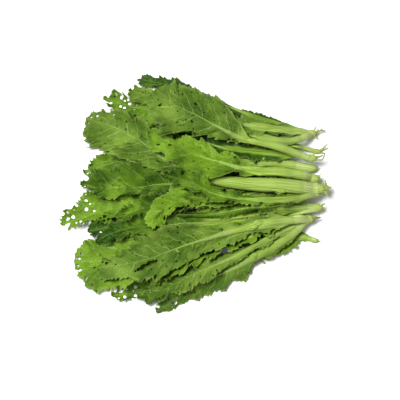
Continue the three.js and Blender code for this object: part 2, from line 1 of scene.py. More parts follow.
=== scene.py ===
"""Dresses a bunch of young mustard greens that lies on a pale table.

Nine plants lie side by side, roots to the right and leaf tips to the left. Each plant replaces
its plain solid with toothed, veined and insect-bitten leaves, ribbed stalks, a crown and roots.
Leaves are laid in the same order and by the same rule as in the solids, then made fine.
"""

import logging
import math
from dataclasses import dataclass, field
from enum import Enum

import bpy
import numpy as np
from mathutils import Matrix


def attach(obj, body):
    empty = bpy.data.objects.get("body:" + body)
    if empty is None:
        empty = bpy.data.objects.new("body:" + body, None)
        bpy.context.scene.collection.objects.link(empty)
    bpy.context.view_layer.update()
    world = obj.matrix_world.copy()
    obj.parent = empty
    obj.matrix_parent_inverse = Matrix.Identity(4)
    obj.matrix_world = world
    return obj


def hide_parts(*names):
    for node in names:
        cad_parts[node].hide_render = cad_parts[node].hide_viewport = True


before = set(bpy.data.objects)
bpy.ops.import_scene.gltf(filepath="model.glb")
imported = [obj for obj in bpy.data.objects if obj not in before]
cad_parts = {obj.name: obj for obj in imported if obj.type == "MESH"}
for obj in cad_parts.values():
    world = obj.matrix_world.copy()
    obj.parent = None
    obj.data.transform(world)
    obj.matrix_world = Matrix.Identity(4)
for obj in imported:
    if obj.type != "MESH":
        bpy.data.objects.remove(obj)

log = logging.getLogger("mustard_greens")

# Lengths below are millimetres, as a grower gives them, and become metres in the meshes
MM = 0.001
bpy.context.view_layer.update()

# Driving dimensions, the same as the solids have
BLADE_THICKNESS = 0.8
STEEPEST_BLADE = 2.4
RIB_AT_TIP = 1.2
STALK_FLATNESS = 0.8
RIB_FLATNESS = 0.75
CLEARANCE = 0.5
FUSED_RADIUS = 42.0
FLAT_DEPTH = 0.5
CENTRE = (0.3, 6.5)
FOOT_ROWS = 3
WING_ROWS = 5
BLADE_ROWS = 12
WING_START = 0.08
WING_RISE = 0.14
FOOT_WIDTH = 0.9
FOOT_RISE = 0.08
TIP_WIDTH = 0.3
TAPER = (0.1, 0.9)
BLADE_RISE = 0.18
LEAN_RISE = 0.3
SIDE_VEIN_ANGLE = math.radians(38)
TOOTH = 0.12
WIDEST = 60.0
TIP_HALF_WIDTH = 0.9
MOST_STALK = 0.7
REACH_ERROR = 0.01
STALK_EDGE = 0.4
STALK_SHOULDER = 0.86
WING_ROOT = 0.5
PLEAT = 1.0
WAVE_BY_ROW = 1.9
WAVE_BY_LEAF = 2.3
WAVE_BY_SIDE = 1.1
WING_WAVE = 0.6
HELD = (4.0, 90.0)
SLOPE_ALONG = 0.4
SLOPE_ACROSS = 0.7
SLOPE_PASSES = 3
SETTLING_ROUNDS = 5
STIFF_PASSES = 4
SHORTEST_STEP = 0.5
FUSED_FOOT = 1.2
CROWN_RINGS = ((-1.8, 0.5), (-0.9, 0.8), (0.0, 0.9), (0.8, 0.75))
ROOT_RINGS = ((0.1, 0.45), (0.3, 0.25), (1.0, 0.15))
CROWN_FLATNESS = 0.9

# Grid on which the top of the pile is kept while leaves are laid
CELL = 1.0
FIELD_CORNER = (-175.0, -160.0)
FIELD_COLUMNS = 350
FIELD_ROWS = 320
NEIGHBOURS = tuple((down, along) for down in (-1, 0, 1) for along in (-1, 0, 1))

# Fine sheets: how far apart their points are, how thick they are, and their veins and teeth
STALK_STEP = 2.4
WING_STEP = 1.6
ROW_STEP = 1.15
COLUMN_STEP = 1.5
HALF_COLUMNS = (10, 28)
COLUMN_CROWDING = 1.15
FINE_BLADE = 0.5
FINE_GAP = 0.25
NESTLING = 0.6
VEIN_SPACING = 15.0
TEETH_SPACING = 4.8
LOBED_FROM = 0.4
TOOTHED_FROM = 0.7
SHARP_ANGLE = math.radians(60)
STALK_GROOVE = 0.2
SIDE_VEIN_HEIGHT = 0.3
PROUD_SIDE = 0.45

# Lobes, teeth and nicks of the edge as size and wavelength, and how far they go, over its reach
LOBES = (2.5, 22.0)
TEETH = 2.5
TEETH_VARY = (2.0, 17.0)
BEAT_VARIES = (0.9, 23.0)
NICKS = (0.8, 3.4)
TOOTH_BACK = 0.7
LOBE_LIMITS = (-0.35, 0.2)
TOOTH_LIMITS = (-0.25, 0.2)

# Waves of a fine sheet as height and wavelength, the edge's curl, and the swelling between veins
RUFFLE = (2.2, 16.0)
FRILL = (1.1, 7.5)
FOLD = (1.7, 38.0)
LUMPS = (0.55, 9.0)
CRINKLE = (0.3, 4.5)
CURL = 2.2
SWELLING_UPPER = 1.1
SWELLING_UNDER = -0.5

# Round holes eaten into frail parts: how often they are tried, their sizes, and what stays between
LACE_TRIES = 420
LACE_RADIUS = (1.1, 2.3)
STRAND = 0.9
LACY_FROM = 0.6
LACE_FINENESS = 0.65

# Bitten edges by wavelength, how uneven holes are, and pinholes by radius
GNAWED_WAVE = 17.0
NIBBLED_WAVE = 5.5
UNEVEN_HOLES = (0.18, 4.0)
PINHOLE = (0.4, 0.9)
LARGER_PINHOLE = (0.9, 1.5)
SMALL_SHARE = 0.75
PIERCED_FROM = 0.12

Array = np.ndarray
Colour = tuple[float, float, float, float]


class Shows(Enum):
    """Which side of a leaf looks up."""

    UPPER = "upper"
    UNDER = "under"


class Skin(Enum):
    """The finishes of a plant, by their material number."""

    UPPER = 0
    UNDER = 1
    ROOT = 2


@dataclass(frozen=True)
class Rootlet:
    """A thin root: its line from the crown's middle, its radius, and how brown its end is."""

    line: tuple[tuple[float, float], ...]
    radius: float
    dry: float = 0.3


@dataclass(frozen=True)
class Crown:
    """Where a plant's stalks meet, the root below them, and the threads at its frayed end."""

    at: tuple[float, float]
    radius: float
    root: tuple[float, float]
    rise: float
    dry: float = 0.0
    tuft: int = 4
    fray: float = 4.0
    rootlets: tuple[Rootlet, ...] = ()

    def stations(self) -> list[tuple[float, float, float]]:
        """Returns place along, place aside and size of each ring of the crown and main root."""
        reach, bend = self.root
        rings = [(step * self.radius, 0.0, size) for step, size in CROWN_RINGS]
        return rings + [(self.radius + reach * step, bend * step, size) for step, size in ROOT_RINGS]


@dataclass(frozen=True)
class LeafPlan:
    """One leaf: its midrib from crown to tip, its half-widths, and its character.

    The numbers up to wave are the solids'. holes counts pinholes, lacy says how much round lace
    there is, and bites are the place and radius of larger holes.
    """

    plant: str
    path: tuple[tuple[float, float], ...]
    stalk: float
    width: float
    wing: float
    near: tuple[float, ...]
    far: tuple[float, ...]
    cup: float
    wave: float
    rows: int = BLADE_ROWS
    shows: Shows = Shows.UPPER
    holes: int = 6
    ruffle: float = 1.0
    tone: float = 0.5
    lacy: float = 0.15
    bites: tuple[tuple[float, float, float], ...] = ()


CROWNS = {
    "plant_1": Crown((131, 74), 4.6, (9, 5), 3, dry=0.5, tuft=3, fray=3.0, rootlets=(
        Rootlet(((2, 2), (5, 5), (6.5, 8.5)), 1.2),
        Rootlet(((4, 1), (10, 3), (17, 3)), 1.3, dry=0.9),
        Rootlet(((3, -3), (7, -5), (8, -8)), 0.8),
    )),
    "plant_2": Crown((138, 54), 3.2, (9, 4), 0, tuft=3, fray=3.0, rootlets=(
        Rootlet(((3, 1), (7, 4), (12, 9)), 0.8),
        Rootlet(((3, -1), (7, -2), (9, -2)), 0.9),
    )),
    "plant_3": Crown((130, 41), 4.6, (9, 3), 7, dry=0.3, tuft=3, fray=3.0, rootlets=(
        Rootlet(((3, 0), (7, -2), (12, -2), (14.5, 2), (15, 5)), 1.1, dry=0.9),
        Rootlet(((2, 3), (4, 6), (5, 11)), 0.8),
    )),
    "plant_4": Crown((131, 33), 5.0, (3, 1), 2, tuft=6, fray=3.5),
    "plant_5": Crown((133, 19), 5.5, (3, -1), 7, tuft=9, fray=4.5),
    "plant_6": Crown((137, 6), 6.6, (8, 2), 11, tuft=20, fray=5.5, rootlets=(
        Rootlet(((5, 2), (8, 5), (8.5, 10)), 1.5, dry=0.5),
        Rootlet(((5, 2), (9, 3), (12.5, 1.5)), 2.6, dry=0.4),
        Rootlet(((5, 0), (9, 0), (12, -1)), 2.8, dry=0.4),
        Rootlet(((5, -2), (9, -4), (11, -6)), 2.2, dry=0.4),
        Rootlet(((6, -3), (10, -7), (14, -8)), 1.0, dry=0.5),
        Rootlet(((4, 3), (7, 5), (10, 6)), 2.2, dry=0.4),
    )),
    "plant_7": Crown((137, -14), 4.4, (3, -1), 7, tuft=3, fray=3.0, rootlets=(
        Rootlet(((3, 2), (7, 4), (9, 4)), 1.3),
    )),
    "plant_8": Crown((126, -27), 5.0, (9, 2), 6, dry=0.9, tuft=4, fray=4.0, rootlets=(
        Rootlet(((3, 2), (8, 3), (13, 1)), 0.9, dry=0.9),
    )),
    "plant_9": Crown((134, -50), 2.8, (3, -1), 0, tuft=3, fray=2.5),
}

# Leaves from the bottom of the pile to its top
LEAVES = [
    LeafPlan(
        "plant_9", ((135, -50), (119, -46), (100, -51), (82, -61), (66, -70)),
        stalk=0.2, width=6, wing=2, near=(15, 14, 9), far=(4, 5, 4), cup=2, wave=2, rows=8,
        tone=0.6, lacy=1.5,
    ),
    LeafPlan(
        "plant_8", ((123, -29), (94, -44), (39, -70), (-17, -94), (-50, -106), (-92, -112)),
        stalk=0.45, width=6, wing=7, near=(9, 11, 12, 9), far=(12, 16, 18, 12), cup=3, wave=5,
        ruffle=1.8, tone=0.6, lacy=0.8,
    ),
    LeafPlan(
        "plant_8", ((123, -29), (111, -42), (98, -52), (80, -63), (57, -76), (33, -87), (-8, -107),
                    (-42, -131)),
        stalk=0.33, width=9, wing=3, near=(14, 17, 13, 8), far=(10, 17, 18, 12), cup=-4, wave=3,
        shows=Shows.UNDER, tone=0.2, lacy=0.4,
    ),
    LeafPlan(
        "plant_7", ((137, -14), (88, -15), (22, -32), (-39, -50), (-94, -57)),
        stalk=0.45, width=5, wing=8, near=(11, 15, 16, 12), far=(11, 15, 16, 12), cup=2, wave=2,
        ruffle=1.8, tone=0.2, lacy=0.7,
    ),
    LeafPlan(
        "plant_7", ((136, -16), (112, -21), (91, -24), (39, -37), (-28, -57), (-88, -72), (-134, -74)),
        stalk=0.48, width=7, wing=8, near=(13, 24, 32, 33), far=(12, 20, 27, 28), cup=-4, wave=4,
        ruffle=1.3, tone=0.85, lacy=0.35,
    ),
    LeafPlan(
        "plant_6", ((136, 3), (112, -1), (88, -5), (17, -18), (-50, -27), (-94, -34), (-120, -39)),
        stalk=0.5, width=5, wing=8, near=(11, 18, 20, 14), far=(10, 16, 18, 14), cup=2, wave=2,
        ruffle=1.6, tone=0.1, lacy=0.5,
    ),
    LeafPlan(
        "plant_4", ((131, 33), (86, 31), (6, 31), (-50, 36), (-100, 33)),
        stalk=0.45, width=6, wing=10, near=(11, 15, 16, 12), far=(11, 15, 16, 12), cup=2, wave=2,
        tone=0.5,
    ),
    LeafPlan(
        "plant_2", ((137, 54), (90, 65), (30, 70), (-39, 72), (-85, 78)),
        stalk=0.45, width=4, wing=7, near=(10, 14, 16, 12), far=(10, 14, 16, 12), cup=2, wave=2,
        tone=0.2,
    ),
    LeafPlan(
        "plant_8", ((124, -29), (98, -42), (50, -68), (6, -88), (-26, -104), (-54, -121)),
        stalk=0.4, width=6, wing=3, near=(9, 12, 13, 8), far=(14, 23, 24, 15), cup=-4, wave=3,
        shows=Shows.UNDER, holes=44, tone=0.4, lacy=0.3,
    ),
    LeafPlan(
        "plant_6", ((136, 6), (112, 4), (88, 3), (20, -6), (-50, -9), (-100, -15), (-150, -31)),
        stalk=0.55, width=6, wing=10, near=(11, 17, 17, 11), far=(12, 18, 27, 17), cup=3, wave=3,
        holes=16, ruffle=1.8, tone=0.85, lacy=1.2,
    ),
    LeafPlan(
        "plant_7", ((136, -15), (112, -17), (80, -24), (17, -31), (-39, -35), (-78, -40), (-110, -53)),
        stalk=0.45, width=5, wing=6, near=(9, 11, 12, 9), far=(10, 14, 16, 10), cup=-3, wave=2,
        tone=0.5, lacy=0.3,
    ),
    LeafPlan(
        "plant_4", ((131, 33), (86, 39), (17, 40), (-39, 43), (-78, 42), (-126, 30)),
        stalk=0.45, width=11, wing=4, near=(9, 14, 18, 18, 16), far=(10, 15, 17, 16, 10), cup=3, wave=5,
        ruffle=2.0, tone=0.75, lacy=0.4,
    ),
    LeafPlan(
        "plant_3", ((129, 42), (86, 48), (22, 60), (-33, 80), (-67, 99)),
        stalk=0.42, width=5, wing=10, near=(10, 17, 18, 12), far=(10, 17, 18, 12), cup=2, wave=2,
        tone=0.1,
    ),
    LeafPlan(
        "plant_2", ((137, 54), (116, 57), (61, 65), (6, 80), (-50, 100), (-105, 118)),
        stalk=0.5, width=5.5, wing=5, near=(11, 19, 21, 16), far=(9, 14, 15, 12), cup=2, wave=5,
        holes=18, ruffle=1.6, tone=0.7, lacy=1.0,
    ),
    LeafPlan(
        "plant_1", ((131, 72), (114, 62), (94, 60), (50, 76), (-6, 98), (-76, 126)),
        stalk=0.5, width=7, wing=5, near=(10, 18, 19, 14), far=(9, 14, 15, 12), cup=2, wave=4,
        shows=Shows.UNDER, tone=0.55, lacy=0.3,
    ),
    LeafPlan(
        "plant_1", ((131, 74), (100, 84), (61, 97), (22, 112), (-22, 130), (-66, 139)),
        stalk=0.3, width=5, wing=3, near=(9, 11, 11, 9), far=(4, 8, 11, 10), cup=-7, wave=3,
        holes=0, tone=0.0,
    ),
    LeafPlan(
        "plant_1", ((131, 74), (116, 74), (84, 75), (44, 83), (11, 95), (-17, 109)),
        stalk=0.38, width=9, wing=5, near=(9, 14, 15, 10), far=(9, 14, 15, 10), cup=3, wave=4,
        shows=Shows.UNDER, tone=0.5, lacy=0.3,
    ),
    LeafPlan(
        "plant_5", ((133, 19), (88, 14), (22, 14), (-22, 19), (-52, 26), (-77, 42)),
        stalk=0.45, width=5, wing=6, near=(8, 12, 13, 9), far=(9, 12, 14, 10), cup=3, wave=3,
        tone=0.35,
    ),
    LeafPlan(
        "plant_6", ((136, 10), (112, 11), (90, 11), (22, 10), (-29, 14), (-72, 10), (-105, 9), (-129, 17)),
        stalk=0.5, width=6, wing=4, near=(8, 11, 13, 11), far=(12, 20, 26, 21), cup=2, wave=5,
        ruffle=2.0, tone=0.38, lacy=0.5,
    ),
    LeafPlan(
        "plant_7", ((136, -12), (112, -10), (90, -9), (17, -9), (-33, -11), (-61, -17), (-88, -27)),
        stalk=0.5, width=5, wing=5, near=(7, 11, 12, 9), far=(7, 11, 12, 9), cup=3, wave=4,
        ruffle=2.2, tone=0.5, lacy=0.4,
    ),
    LeafPlan(
        "plant_7", ((138, -14), (94, -17), (44, -11), (-5, -7), (-30, -16), (-47, -42)),
        stalk=0.5, width=7, wing=4, near=(6, 9, 10, 7), far=(8, 15, 18, 14), cup=-4, wave=3,
        holes=3, ruffle=0.7, tone=1.0,
    ),
    LeafPlan(
        "plant_6", ((135, 1), (112, -9), (83, -17), (50, -20), (11, -24), (-19, -25)),
        stalk=0.35, width=5, wing=1, near=(4, 5, 5, 4), far=(4, 5, 5, 4), cup=-5, wave=1,
        holes=0, tone=0.3,
    ),
    LeafPlan(
        "plant_8", ((125, -28), (90, -35), (50, -50), (11, -62), (-19, -78), (-47, -100)),
        stalk=0.42, width=6, wing=7, near=(10, 14, 14, 10), far=(9, 13, 15, 11), cup=3, wave=4,
        tone=0.8, lacy=0.3,
    ),
    LeafPlan(
        "plant_6", ((135, 2), (112, -6), (90, -12), (50, -10), (17, -7), (-14, -3)),
        stalk=0.4, width=5, wing=5, near=(6, 8, 8, 6), far=(6, 8, 8, 6), cup=2, wave=4, rows=10,
        ruffle=1.8, tone=0.7, lacy=0.6,
    ),
    LeafPlan(
        "plant_5", ((133, 19), (88, 23), (50, 28), (22, 35), (-5, 49), (-25, 62), (-42, 76)),
        stalk=0.42, width=6, wing=4, near=(6, 8, 9, 6), far=(8, 11, 12, 9), cup=5, wave=4,
        tone=0.5,
    ),
    LeafPlan(
        "plant_6", ((137, 6), (114, 5), (74, 7), (28, 14), (-13, 26), (-39, 43), (-64, 64), (-90, 80),
                    (-124, 93)),
        stalk=0.42, width=16, wing=0, near=(9, 15, 26, 34, 34), far=(10, 17, 21, 20, 17), cup=-4, wave=4,
        shows=Shows.UNDER, holes=14, tone=0.5, lacy=0.15,
        bites=((-91.0, 69.3, 1.6), (-77.1, 47.0, 1.6), (-71.0, 59.9, 1.2)),
    ),
    LeafPlan(
        "plant_5", ((133, 20), (100, 22), (68, 24), (40, 32), (17, 40), (-13, 51), (-36, 60), (-52, 70)),
        stalk=0.3, width=11, wing=0, near=(11, 21, 27, 27, 17), far=(8, 13, 15, 13, 8), cup=3, wave=4,
        holes=10, tone=0.8,
    ),
    LeafPlan(
        "plant_6", ((137, 0), (105, -11), (61, -12), (22, -2), (-6, 11), (-34, 20)),
        stalk=0.35, width=6, wing=3, near=(6, 9, 11, 9), far=(6, 8, 10, 9), cup=2, wave=5,
        ruffle=2.0, tone=0.6, lacy=0.5,
    ),
    LeafPlan(
        "plant_8", ((126, -28), (112, -30), (61, -39), (7, -54), (-40, -70), (-72, -79), (-107, -83)),
        stalk=0.3, width=9, wing=7, near=(12, 18, 22, 25, 18), far=(10, 24, 28, 25, 16), cup=-5, wave=4,
        shows=Shows.UNDER, holes=16, tone=0.5, lacy=0.2,
        bites=((-65.5, -88.2, 1.5), (-61.6, -86.4, 2.4), (-57.7, -84.7, 3.3),
               (-53.8, -82.6, 4.1), (-50.0, -80.5, 4.4), (-46.1, -78.8, 3.4), (-42.7, -77.4, 2.0),
               (-10.0, -66.5, 1.5)),
    ),
    LeafPlan(
        "plant_3", ((131, 40), (105, 47), (78, 55), (56, 61), (38, 68), (19, 79), (0, 89), (-18, 98),
                    (-32, 110), (-45, 125)),
        stalk=0.37, width=8.5, wing=0, near=(5, 12, 30, 40, 26), far=(20, 28, 31, 33, 26), cup=-4, wave=5,
        shows=Shows.UNDER, holes=50, ruffle=0.7, tone=0.4,
        bites=((-20.0, 122.9, 2.0), (-10.0, 112.3, 1.5), (0.0, 104.0, 2.2), (2.7, 107.9, 1.6),
               (-16.7, 95.6, 1.5), (-13.3, 79.0, 1.5)),
    ),
]


def mix(low: Array | float, high: Array | float, share: Array | float) -> Array | float:
    """Blends two values by a share from 0 to 1."""
    return low + (high - low) * share


def smooth(value: Array | float, low: float, high: float) -> Array | float:
    """Rises smoothly from 0 at low to 1 at high."""
    share = np.clip((value - low) / (high - low), 0.0, 1.0)
    return share * share * (3.0 - 2.0 * share)


def curve_through(values: Array, places: Array, rounded: bool = False) -> Array:
    """Interpolates rows of values with a cubic curve.

    Args:
        values: One row for each whole place.
        places: Places to interpolate at.
        rounded: Whether the curve rounds off its points instead of passing through them.

    Returns:
        One row for each place.
    """
    count = len(values)
    low = np.clip(np.floor(places).astype(int), 0, count - 2)
    t = (places - low)[:, None]
    before = values[np.maximum(low - 1, 0)]
    first = values[low]
    second = values[low + 1]
    after = values[np.minimum(low + 2, count - 1)]
    if rounded:
        total = (1 - t) ** 3 * before + (3 * t ** 3 - 6 * t ** 2 + 4) * first
        total = total + (-3 * t ** 3 + 3 * t ** 2 + 3 * t + 1) * second + t ** 3 * after
        return total / 6
    out = (second - before) / 2
    into = (after - first) / 2
    total = (2 * t ** 3 - 3 * t ** 2 + 1) * first + (t ** 3 - 2 * t ** 2 + t) * out
    return total + (-2 * t ** 3 + 3 * t ** 2) * second + (t ** 3 - t ** 2) * into


class Ripple:
    """Smooth seeded noise over one or two coordinates, as a sum of waves."""

    SPREAD = (0.6, 1.7)

    def __init__(self, seed: int, wavelength: float, waves: int = 7) -> None:
        """Draws the waves.

        Args:
            seed: Number that fixes the draw.
            wavelength: Typical distance between crests.
            waves: How many waves are summed.
        """
        draw = np.random.default_rng(seed)
        turn = draw.uniform(0, 2 * math.pi, waves)
        rate = 2 * math.pi / (wavelength * draw.uniform(*self.SPREAD, waves))
        self.along = rate * np.cos(turn)
        self.across = rate * np.sin(turn)
        self.phase = draw.uniform(0, 2 * math.pi, waves)

    def at(self, x: Array, y: Array | float = 0.0) -> Array:
        """Returns the noise, mostly from -1 to 1, at each place."""
        total = 0.0
        for along, across, phase in zip(self.along, self.across, self.phase):
            total = total + np.sin(x * along + y * across + phase)
        return total / math.sqrt(len(self.phase))


class Midrib:
    """The line that a leaf follows in plan, from its crown to its tip."""

    STEPS = 400
    REACH = 0.5
    SHORTEST_GAP = 1e-4

    def __init__(self, path: tuple[tuple[float, float], ...]) -> None:
        """Fits a centripetal curve through the path's points.

        Args:
            path: Points from crown to tip.
        """
        points = np.array(path, dtype=float)
        before = 2 * points[0] - points[1]
        after = 2 * points[-1] - points[-2]
        padded = np.vstack([before, points, after])
        pieces = [self._piece(*padded[k:k + 4]) for k in range(len(points) - 1)]
        self.places = np.vstack([*pieces, points[-1]])
        steps = np.linalg.norm(np.diff(self.places, axis=0), axis=1)
        self.distance = np.concatenate([[0.0], np.cumsum(steps)])
        self.length = float(self.distance[-1])

    def _piece(self, a: Array, b: Array, c: Array, d: Array) -> Array:
        """Returns points of the curve between b and c, without c."""
        steps = (b - a, c - b, d - c)
        gap_1, gap_2, gap_3 = (max(np.linalg.norm(step) ** 0.5, self.SHORTEST_GAP) for step in steps)
        out = ((b - a) / gap_1 - (c - a) / (gap_1 + gap_2) + (c - b) / gap_2) * gap_2
        into = ((c - b) / gap_2 - (d - b) / (gap_2 + gap_3) + (d - c) / gap_3) * gap_2
        t = np.linspace(0, 1, self.STEPS, endpoint=False)[:, None]
        cube = 2 * b - 2 * c + out + into
        square = -3 * b + 3 * c - 2 * out - into
        return b + out * t + square * t ** 2 + cube * t ** 3

    def at(self, shares: Array) -> tuple[Array, Array]:
        """Returns places and unit directions at shares of the line's length."""
        spots = shares * self.length
        ahead = self._interpolate(np.minimum(spots + self.REACH, self.length))
        behind = self._interpolate(np.maximum(spots - self.REACH, 0.0))
        forward = ahead - behind
        return self._interpolate(spots), forward / np.linalg.norm(forward, axis=1, keepdims=True)

    def _interpolate(self, spots: Array) -> Array:
        """Returns places at distances along the line."""
        x = np.interp(spots, self.distance, self.places[:, 0])
        y = np.interp(spots, self.distance, self.places[:, 1])
        return np.stack([x, y], axis=1)


class Pile:
    """The height of the pile's top, cell by cell, kept for each plant."""

    def __init__(self) -> None:
        """Starts with an empty table."""
        self.maps = {name: np.zeros((FIELD_ROWS, FIELD_COLUMNS)) for name in CROWNS}
        rows, columns = np.mgrid[0:FIELD_ROWS, 0:FIELD_COLUMNS]
        self.cell_x = FIELD_CORNER[0] + columns * CELL
        self.cell_y = FIELD_CORNER[1] + rows * CELL

    @staticmethod
    def cells(points: Array) -> tuple[Array, Array]:
        """Returns the row and column of the cell that holds each point."""
        column = np.floor((points[..., 0] - FIELD_CORNER[0]) / CELL + 0.5).astype(int)
        row = np.floor((points[..., 1] - FIELD_CORNER[1]) / CELL + 0.5).astype(int)
        return np.clip(row, 0, FIELD_ROWS - 1), np.clip(column, 0, FIELD_COLUMNS - 1)

    def record(self, plant: str, points: Array) -> None:
        """Raises a plant's map to hold all points."""
        row, column = self.cells(points)
        np.maximum.at(self.maps[plant], (row.ravel(), column.ravel()), points[..., 2].ravel())

    def support(self, plant: str) -> Array:
        """Returns what a leaf of this plant must lie above, spread by a cell each way."""
        crown_x, crown_y = CROWNS[plant].at
        away = np.hypot(self.cell_x - crown_x, self.cell_y - crown_y) > FUSED_RADIUS
        top = np.where(away, self.maps[plant], 0.0)
        for name, heights in self.maps.items():
            if name != plant:
                top = np.maximum(top, heights)
        wide = top.copy()
        for step in NEIGHBOURS:
            wide = np.maximum(wide, np.roll(top, step, axis=(0, 1)))
        return wide

    def look_up(self, support: Array, points: Array) -> Array:
        """Returns the support's height under each point."""
        row, column = self.cells(points)
        return support[row, column]


def half_width(values: tuple[float, ...], start: Array, share: Array) -> Array:
    """Returns a blade's half-width at shares of its length.

    Args:
        values: Half-widths at even steps.
        start: Half-width where the blade starts, for each share.
        share: Places along the blade, from 0 to 1.
    """
    stations = np.array([0.0, *values, 0.0])
    place = np.clip(share, 0, 1) * (len(stations) - 1)
    low = np.minimum(np.floor(place).astype(int), len(stations) - 2)
    t = place - low
    first = np.where(low == 0, start, stations[low])
    eased = mix(first, stations[low + 1], (smooth(t, 0, 1) + t) / 2)
    return np.where(low == len(stations) - 2, first * np.sqrt(1 - t * t), eased)


def stalk_width(plan: LeafPlan, share: Array) -> Array:
    """Returns the width of a leaf's stalk and midrib at shares of its length."""
    foot = mix(FOOT_WIDTH, 1, smooth(share, 0, FOOT_RISE))
    return plan.width * foot * mix(1, TIP_WIDTH, smooth(share, *TAPER))


def wing_share(share: Array) -> Array:
    """Returns how far the wings on a stalk have grown at shares of its length."""
    return smooth(share, WING_START, WING_START + WING_RISE)


def blade_share(plan: LeafPlan, share: Array) -> Array:
    """Returns shares of the blade's length at shares of the leaf's."""
    return np.clip((share - plan.stalk) / (1 - plan.stalk), 0, 1)


def outline(plan: LeafPlan, values: tuple[float, ...], share: Array) -> Array:
    """Returns the half-width of a whole leaf on the side that has these values."""
    start = stalk_width(plan, share) / 2 + plan.wing * wing_share(share)
    return np.where(share <= plan.stalk, start, half_width(values, start, blade_share(plan, share)))


@dataclass
class Sheet:
    """A leaf laid out in plan: rows of points across it, near edge to far edge."""

    shares: Array
    columns: Array
    length: float
    in_blade: Array
    bladeness: Array
    thin: Array
    stalk_width: Array
    reach: Array
    across: Array

    @classmethod
    def lay_out(cls, plan: LeafPlan, shares: Array, columns: Array,
                margin: tuple[Array, Array] | None) -> "Sheet":
        """Lays a leaf out.

        Args:
            plan: The leaf.
            shares: Places of the rows along the leaf.
            columns: Places across the leaf, from -1 to 1.
            margin: Steps of the edge in or out for its lobes and for its teeth, over its reach,
                for each row's near and far side. They fade out towards the midrib. None gives
                the solids' coarse teeth instead.
        """
        midrib = Midrib(plan.path)
        centre, forward = midrib.at(shares)
        in_blade = blade_share(plan, shares)
        bladeness = smooth(in_blade, 0, BLADE_RISE)
        thin = np.maximum(bladeness, wing_share(shares) * (plan.wing > 0))
        slant = np.tan(SIDE_VEIN_ANGLE * smooth(in_blade, 0, LEAN_RISE))
        width = stalk_width(plan, shares)
        lean = slant / midrib.length
        sides = [cls._reach(plan, values, shares, lean) for values in (plan.near, plan.far)]
        reach = np.stack(sides, axis=1)
        if margin is None:
            step = np.where(np.arange(len(shares)) % 2 == 0, TOOTH, -TOOTH) * thin
            reach *= 1 + step[:, None]
            margin = (np.zeros_like(reach), np.zeros_like(reach))
        is_near = columns[None, :] < 0
        side_reach = np.where(is_near, reach[:, :1], reach[:, 1:])
        inner = np.minimum((width / 2)[:, None], side_reach * MOST_STALK)
        inner = mix(inner, side_reach / 2, bladeness[:, None])
        edge = np.abs(columns)[None, :]
        half = np.where(edge <= 0.5, inner * edge * 2, mix(inner, side_reach, edge * 2 - 1))
        grown = np.ones_like(half)
        for start, steps in zip((LOBED_FROM, TOOTHED_FROM), margin):
            fade = np.clip((edge - start) / (1 - start), 0, 1)
            grown += fade * np.where(is_near, steps[:, :1], steps[:, 1:])
        half = half * grown
        far = np.stack([forward[:, 1], -forward[:, 0]], axis=1)
        aside = far[:, None, :] * (half * np.sign(columns)[None, :])[..., None]
        ahead = forward[:, None, :] * (half * slant[:, None])[..., None]
        across = centre[:, None, :] + aside + ahead
        return cls(shares, columns, midrib.length, in_blade, bladeness, thin, width, reach, across)

    @staticmethod
    def _reach(plan: LeafPlan, values: tuple[float, ...], shares: Array, slant: Array) -> Array:
        """Returns how far rows that lean towards the tip reach before they meet the outline."""
        low = np.zeros_like(shares)
        high = np.full_like(shares, WIDEST)
        while high[0] - low[0] > REACH_ERROR:
            middle = (low + high) / 2
            inside = outline(plan, values, shares + middle * slant) > middle
            low = np.where(inside, middle, low)
            high = np.where(inside, high, middle)
        return np.maximum(low, TIP_HALF_WIDTH)

    def offset(self) -> Array:
        """Returns each point's distance from the midrib."""
        middle = len(self.columns) // 2
        return np.linalg.norm(self.across - self.across[:, middle:middle + 1], axis=2)


